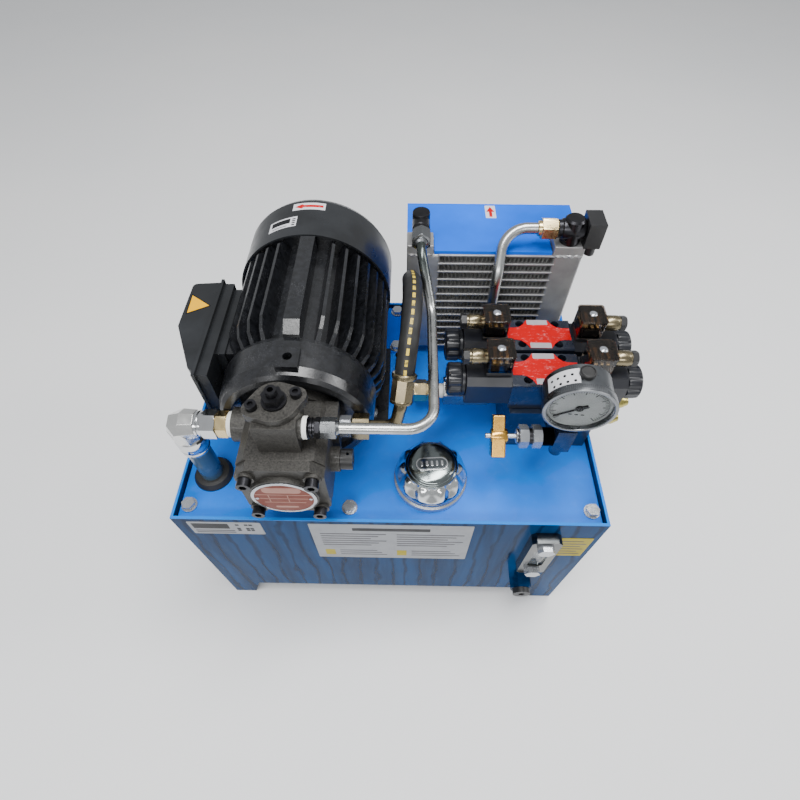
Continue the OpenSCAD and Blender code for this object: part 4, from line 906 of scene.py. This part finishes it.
def make_coil_nuts():
    """Black coil nuts with eight deep grooves, a ribbed collar and a pin hole in the end."""
    first = None
    profile = [(11, 0), (17.4, 0), (18, 0.8), (18, 3.6), (17.2, 4.4), (18.6, 5), (18.9, 6.4), (18.9, 16.4),
        (18.2, 18.6), (16.4, 19.8), (14, 20.3), (13.4, 19.4), (6, 19.3), (5.4, 20.4), (3, 20.4), (2.6, 20)]

    def lobes(r, h, a):
        if 4.5 < h < 18.5 and r > 10:
            return r - 2.4 * (0.5 - 0.5 * cos(8 * a)) ** 1.6
        return r

    for tag, y, sign in COILS:
        at = (VALVE_X + sign * COIL_END, y, COIL_Z)
        nut = lathe("coil_nut_" + tag, profile, at, X * sign, "coil", 128, lobes, slot="coil_black", sharp=30)
        first = first or nut
    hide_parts("coil_nuts")


def make_connectors():
    """Smoky plug housings on the coils: clear hood, dark terminal block, centre screw and gland."""
    first = None
    base = COIL_Z + 22
    screw = [(1.6, base + 20), (1.6, base + 28), (3.6, base + 28.6), (4.2, base + 29.6), (4.2, base + 30.4),
        (3.2, base + 31.2), (0.5, base + 31.4)]
    barrel = [(7.4, 13.5), (8.2, 14), (8.2, 17), (8.6, 17.6), (8.6, 29), (8.2, 30), (7.6, 30.4), (7.6, 32)]
    seal = [(5.6, 38.2), (5.4, 39), (3.6, 39), (3.4, 34)]
    for tag, y, sign in COILS:
        at = Vector((VALVE_X + sign * PLUG_X, y, 0))
        place = Matrix.Translation(at)
        block("plug_base_" + tag, (at.x - 13.6, y - 13.6, base), (at.x + 13.6, y + 13.6, base + 5),
            "knob", 1.0)
        hood = prism("plug_hood_" + tag, round_rect(27.4, 27.4, 3, 4), base + 5, base + 29.4, "smoke",
            place, 1.4, slot="connector_smoke")
        first = first or hood
        block("plug_terminals_" + tag, (at.x - 9, y - 9, base + 6), (at.x + 9, y + 9, base + 17), "knob", 1.0)
        for k in range(3):
            block("plug_clip_%s_%d" % (tag, k), (at.x - 8 + 6 * k, y - 7, base + 17.2),
                (at.x - 4.5 + 6 * k, y + 7, base + 20), "pale_brass", 0.5)
        prism("plug_rim_" + tag, round_rect(29, 29, 3.4, 4), base + 27.6, base + 30.2, "smoke", place, 0.8)
        lathe("plug_screw_" + tag, screw, at, Z, "zinc", 32)
        port = Vector((at.x, y, GLAND_Z))
        lathe("plug_gland_" + tag, barrel, port, X * sign, "olive_zinc", 48)
        hexagon("plug_nut_" + tag, 15, 31.5, 38.6, port, X * sign, "knob")
        lathe("plug_seal_" + tag, seal, port, X * sign, "rubber", 32)
    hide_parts("din_connectors")


def make_port_fittings():
    first = None
    barrel = [(8.4, 15), (8.5, 16), (8.5, 30), (8.3, 33.6), (7.6, 36), (6.2, 39), (5.2, 41.6), (4.2, 42),
        (4, 41), (4, 20)]
    for station, y in STATIONS:
        for level, z in PORT_LEVELS:
            at = Vector((MANIFOLD_END, y, z))
            name = "port_%s_%s" % (station, level)
            nut = hexagon(name + "_hex", 20, 0, 15.6, at, X, "yellow_zinc", slot="yellow_zinc")
            lathe(name + "_barrel", barrel, at, X, "yellow_zinc", 48, slot="yellow_zinc")
            first = first or nut
    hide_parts("port_fittings")


def make_valve_plates():
    """Red plates with a waist, each with a foil strip in front and behind."""
    outline = [(12, -21.5), (16, -15), (21, -10.5), (27, -9), (35.5, -9)]
    outline += [(x, -y) for x, y in reversed(outline)]
    outline += [(-x, y) for x, y in reversed(outline)]
    for station, y in STATIONS:
        place = Matrix.Translation((VALVE_X, y, VALVE_TOP))
        prism("valve_plate_" + station, outline, 0, 0.45, "red", place, slot="label_white")
        for side in (-1, 1):
            strip = round_rect(23.6, 7.6, 1, 3, (0, side * 17.6))
            prism("valve_plate_foot_%s_%d" % (station, side > 0), strip, 0.4, 0.55, "foil", place)


# ---- relief valve and gauge


def make_relief():
    """Two lock nuts on a threaded stud."""
    body = {"slot": "zinc"}
    first = hexagon("relief_nut_outer", 22, 136, 146, RELIEF, X, "zinc", **body)
    hexagon("relief_nut_inner", 22, 150, 160, RELIEF, X, "zinc", **body)
    threads = [(8, 134.4)]
    for k in range(24):
        h = 160 + k / 2
        threads += [(9.3, h), (10, h + 0.25)]
    threads += [(8, 172)]
    lathe("relief_thread", threads, RELIEF, X, "black_oxide", 48, **body)
    lathe("relief_stud", [(3.2, 133), (7, 133.4), (7.8, 134), (7.8, 164)], RELIEF, X, "zinc", 40)
    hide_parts("relief_cartridge")


def make_wing():
    """Cast brass wing: a hub and two blocky ears, one behind the other along the screw."""
    turn = Matrix.Translation(RELIEF) @ Matrix.Rotation(radians(-50), 4, "X")
    body = {"body": "relief_wing", "slot": "brass"}
    hub = lathe("wing_hub", [(5, 106.4), (7.6, 107), (8, 108), (8, 123), (7.4, 124), (3.4, 124.4)],
        RELIEF, X, "brass", 48, **body)
    place = turn @ Matrix(((0, 0, 1, 0), (1, 0, 0, 0), (0, 1, 0, 0), (0, 0, 0, 1)))
    ears = (("low", 107.0, 122.0, -22.5, -1, 7.6), ("high", 108.0, 121.5, 1, 22.5, 5.6))
    for name, x0, x1, z0, z1, half in ears:
        outline = [(-half, z0), (half, z0), (half, z1), (-half, z1)]
        prism("wing_ear_" + name, outline, x0, x1, "brass", place, 1.6, **body)
    lathe("wing_spindle", [(2, 101), (2.8, 101.6), (2.8, 107), (2.8, 134)], RELIEF, X, "zinc", 24,
        body="relief_wing")
    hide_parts("relief_handle")


def make_dial():
    """Dial face with plain graduations, a dark steel bezel ring, fill plug and a blank paper tag."""
    front = DIAL_PLACE @ FACING_FRONT
    out = front.to_3x3() @ Z
    disc = [(2, 12.05), (30.6, 12.05), (30.6, DIAL_FACE), (2, DIAL_FACE)]
    lathe("dial_plate", disc, DIAL, out, "dial", 96, ring=True)
    for k in range(51):
        turn = front @ Matrix.Rotation(radians(225 - 270 * k / 50), 4, "Z")
        inner, width = (24, 0.22) if k % 5 else (21.5, 0.45)
        prism("dial_tick_%02d" % k, [(inner, -width), (27, -width), (27, width), (inner, width)], *DIAL_INK,
            "black_print", turn)
    arc = []
    for r, start, sweep in ((27.6, 225, -270), (27.2, -45, 270)):
        for k in range(61):
            a = radians(start + sweep * k / 60)
            arc.append((r * cos(a), r * sin(a)))
    prism("dial_scale_line", arc, *DIAL_INK, "black_print", front)
    for k, x in enumerate((-6, 0, 6)):
        prism("dial_mark_%d" % k, round_rect(3.6, 1.6, 0.7, 3, (x, -11)), *DIAL_INK, "black_print", front)
    rim = [(31.2, 16.8), (31.8, 17.7), (33, 18), (34.6, 17.4), (35, 16), (35, 10.4), (34.2, 9.2), (33.2, 9),
        (31.6, 9.4), (31.2, 12.4)]
    lathe("gauge_bezel", rim, DIAL, out, "dark_steel", 128, ring=True, slot="gauge_steel", sharp=40)
    plug = [(7.4, 30), (7.6, 33), (7.6, 36.4), (6.8, 37.4), (6, 37.6), (5.6, 36.8), (0.5, 36.6)]
    lathe("gauge_fill_plug", plug, DIAL + Y * 3, Z, "rubber", 48)
    corners = []
    for i in range(19):
        a = radians(102 + 58 * i / 18)
        corners.append([DIAL_PLACE @ Vector((r * cos(a), y, r * sin(a)))
            for y in (-8.4, 9.5) for r in (33.08, 33.3)])
    ribbon("gauge_paper_tag", corners, "white")
    for row, y in enumerate((-4.5, 3)):
        for k in range(4):
            a = radians(110 + 12 * k + 4 * row)
            up = unit(DIAL_PLACE @ Vector((cos(a), 0, sin(a))) - DIAL)
            lathe("gauge_tag_mark_%d_%d" % (row, k), [(1.5, 33.2), (1.5, 33.42), (0.2, 33.42)],
                DIAL_PLACE @ Vector((0, y, 0)), up, "black_print", 6)


# ---- plates and stickers

PLATE_T = 0.5
INK_T = 0.12


def cowl_patch(name, angles, reach, look, lift, thick):
    """Thin sticker on the fan cowl: angles in degrees from the top, and a reach along Y that may be a
    function of the share of the way round."""
    corners = []
    for i in range(17):
        t = i / 16
        a = radians(angles[0] + (angles[1] - angles[0]) * t)
        corners.append([Vector((MOTOR[0] + r * sin(a), y, MOTOR[2] + r * cos(a)))
            for y in (reach(t) if callable(reach) else reach)
            for r in (COWL_R + lift, COWL_R + lift + thick)])
    ribbon(name, corners, look)


def make_cowl_stickers():
    """Turning-direction arrow and a blank rating sticker."""

    def sticker(name, angles, reach):
        cowl_patch(name, angles, reach, "white", 0.05, 0.12)

    def mark(name, angles, reach, look="black_print"):
        cowl_patch(name, angles, reach, look, 0.2, 0.05)

    def arrow(t):
        middle = 145.5
        half = 4.8 * t / 0.28 if t < 0.28 else 2.2
        return middle - half, middle + half

    sticker("arrow_sticker", (-14, 10), (139, 152))
    mark("arrow_print", (-12.5, 8.5), arrow, "red")
    sticker("rating_sticker", (-31, -9), (109, 127))
    mark("rating_bar", (-29, -14), (116, 124.5))
    for k in range(4):
        mark("rating_line_%d" % k, (-12.5, -10), (111 + 3.6 * k, 113 + 3.6 * k))
    mark("rating_foot", (-28, -16), (111.4, 112.6), "grey_print")


def make_labels():
    """Plain label plates: bands and blocks in place of any wording."""
    face = Matrix.Translation((0, TANK_FRONT, 0)) @ FACING_FRONT

    def plate(name, x0, x1, z0, z1, look, corner=1.5, depths=(0.0, PLATE_T)):
        w, h = x1 - x0, z1 - z0
        outline = round_rect(w, h, min(corner, w / 2 - 0.01, h / 2 - 0.01), 3, ((x0 + x1) / 2, (z0 + z1) / 2))
        return prism(name, outline, *depths, look, face)

    def mark(name, x0, x1, z0, z1, look="grey_print", corner=1):
        plate(name, x0, x1, z0, z1, look, corner, (PLATE_T, PLATE_T + INK_T))

    main = plate("tank_notice_plate", -90, 94, 166, 274, "silver_print")
    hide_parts("label_plates")
    mark("tank_notice_header", -42, 46, 256, 264, "black_print")
    for column, (x0, x1) in enumerate(((-80, -4), (8, 86))):
        for row in range(6):
            z = 246 - 7 * row
            mark("tank_notice_line_%d_%d" % (column, row), x0, x1 - 9 * (row % 3), z - 1.1, z + 1.1)
        mark("tank_notice_block_%d" % column, x0, x0 + 12, 176, 194, "gold_print")
        for row in range(3):
            z = 177 + 7 * row
            mark("tank_notice_foot_%d_%d" % (column, row), x0 + 18, x1 - 6 * row, z, z + 2)
    plate("tank_small_plate", -225, -143, 240, 274, "silver_print")
    mark("tank_small_bar", -221, -180, 256, 270, "black_print")
    for row in range(2):
        mark("tank_small_line_%d" % row, -221, -176, 244 + 5 * row, 246.4 + 5 * row)
    for k in range(5):
        for j in range(5):
            if (k * 3 + j * 2 + k * j) % 3:
                x, z = -172 + 5 * k, 245 + 5 * j
                mark("tank_small_cell_%d_%d" % (k, j), x, x + 4, z, z + 4, "black_print", 0.3)
    plate("tank_side_plate", 196, 234, 186, 244, "gold_print")
    for row in range(6):
        z = 193 + 8 * row
        mark("tank_side_line_%d" % row, 200, 230 - 5 * (row % 2), z, z + 2.4)


def make_pump_plate():
    """Round nameplate: silver rim, dull red field and plain bars."""
    at = Vector((MOTOR[0], span("pump_cover")[0][1], MOTOR[2] - 1))
    rim = [(28, 0), (30.6, 0), (31, 0.4), (31, 0.9), (30.4, 1.1), (28, 1.1)]
    lathe("pump_plate_rim", rim, at, -Y, "zinc", 96, ring=True)
    lathe("pump_plate_field", [(28.4, 0.1), (28.4, 0.8), (0.5, 0.8)], at, -Y, "dull_red", 96)
    turn = Matrix.Translation(at) @ FACING_FRONT

    def mark(name, *outline):
        prism("pump_plate_" + name, round_rect(*outline), 0.7, 1.0, "rose", turn)

    mark("head", 36, 11, 4.5, 5, (0, 17))
    for k in range(3):
        mark("line_%d" % k, 52 - 6 * k, 1.1, 0.5, 2, (0, 8 - 8 * k))
    for k, x in enumerate((-14, 4)):
        mark("bar_%d" % k, 0.9, 15, 0.4, 2, (x, 0))
    mark("foot", 22, 4, 1.6, 4, (0, -18))
    rivet = [(1.7, 0.8), (1.7, 1.3), (1, 1.7), (0.3, 1.8)]
    for k, side in enumerate((-1, 1)):
        lathe("pump_plate_rivet_%d" % k, rivet, at + X * 25.5 * side, -Y, "zinc", 24)


def make_other_stickers():
    """Yellow triangle on the terminal box and the cooler's air arrow."""
    corners = [(-221.5, 34.5), (-196, 16.5), (-220.5, 3)]
    centre = (sum(x for x, _ in corners) / 3, sum(y for _, y in corners) / 3)
    inner = [(centre[0] + (x - centre[0]) * 0.86, centre[1] + (y - centre[1]) * 0.86) for x, y in corners]
    prism("terminal_sticker", corners, TERMINAL_TOP, TERMINAL_TOP + 0.1, "black_print")
    prism("terminal_sticker_field", inner, TERMINAL_TOP + 0.1, TERMINAL_TOP + 0.2, "yellow")
    top = span("cooler_shroud")[1][2]
    prism("air_sticker", round_rect(12.5, 25, 0.6, 2, (115, 160)), top, top + 0.1, "white")
    arrow = [(113.2, 150), (116.8, 150), (116.8, 160), (120, 160), (115, 170), (110, 160), (113.2, 160)]
    prism("air_sticker_arrow", arrow, top + 0.1, top + 0.16, "red")


def make_check_valve():
    at = Vector((0, INLET[1], INLET[2]))
    body = {"slot": "valve_steel"}
    first = hexagon("check_valve_body", 30, 62, 118, at, X, "steel", **body)
    lathe("check_valve_neck", [(10, 117.6), (11, 118), (11, 131), (10.4, 132)], at, X, "steel", **body)
    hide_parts("check_valve")


# ---- floor

# Its half width, and its level just under the feet, in metres.
FLOOR_HALF = 6.0
FLOOR_Z = -0.0005


def make_floor():
    data = bpy.data.meshes.new("floor")
    corners = [(-1, -1), (1, -1), (1, 1), (-1, 1)]
    data.from_pydata([(x * FLOOR_HALF, y * FLOOR_HALF, FLOOR_Z) for x, y in corners], [], [(0, 1, 2, 3)])
    look = Look("floor_paper")
    tone = look.mix(look.cloud(2, 3, 0.3, 0.7), (0.86, 0.87, 0.88), (0.9, 0.9, 0.9))
    data.materials.append(look.finish(tone, 0.9))
    floor = bpy.data.objects.new("floor", data)
    bpy.context.scene.collection.objects.link(floor)


make_camera()
make_hose()
make_lights()
make_floor()
for look, nodes in DRESSED.items():
    for node, rounding in nodes.items():
        dress(node, look, rounding)
make_hose_fittings()
make_tubes()
make_tube_fittings()
make_suction()
make_filler_cap()
make_cooler()
make_coil_nuts()
make_connectors()
make_port_fittings()
make_valve_plates()
make_relief()
make_wing()
make_dial()
make_cowl_stickers()
make_labels()
make_pump_plate()
make_other_stickers()
make_check_valve()
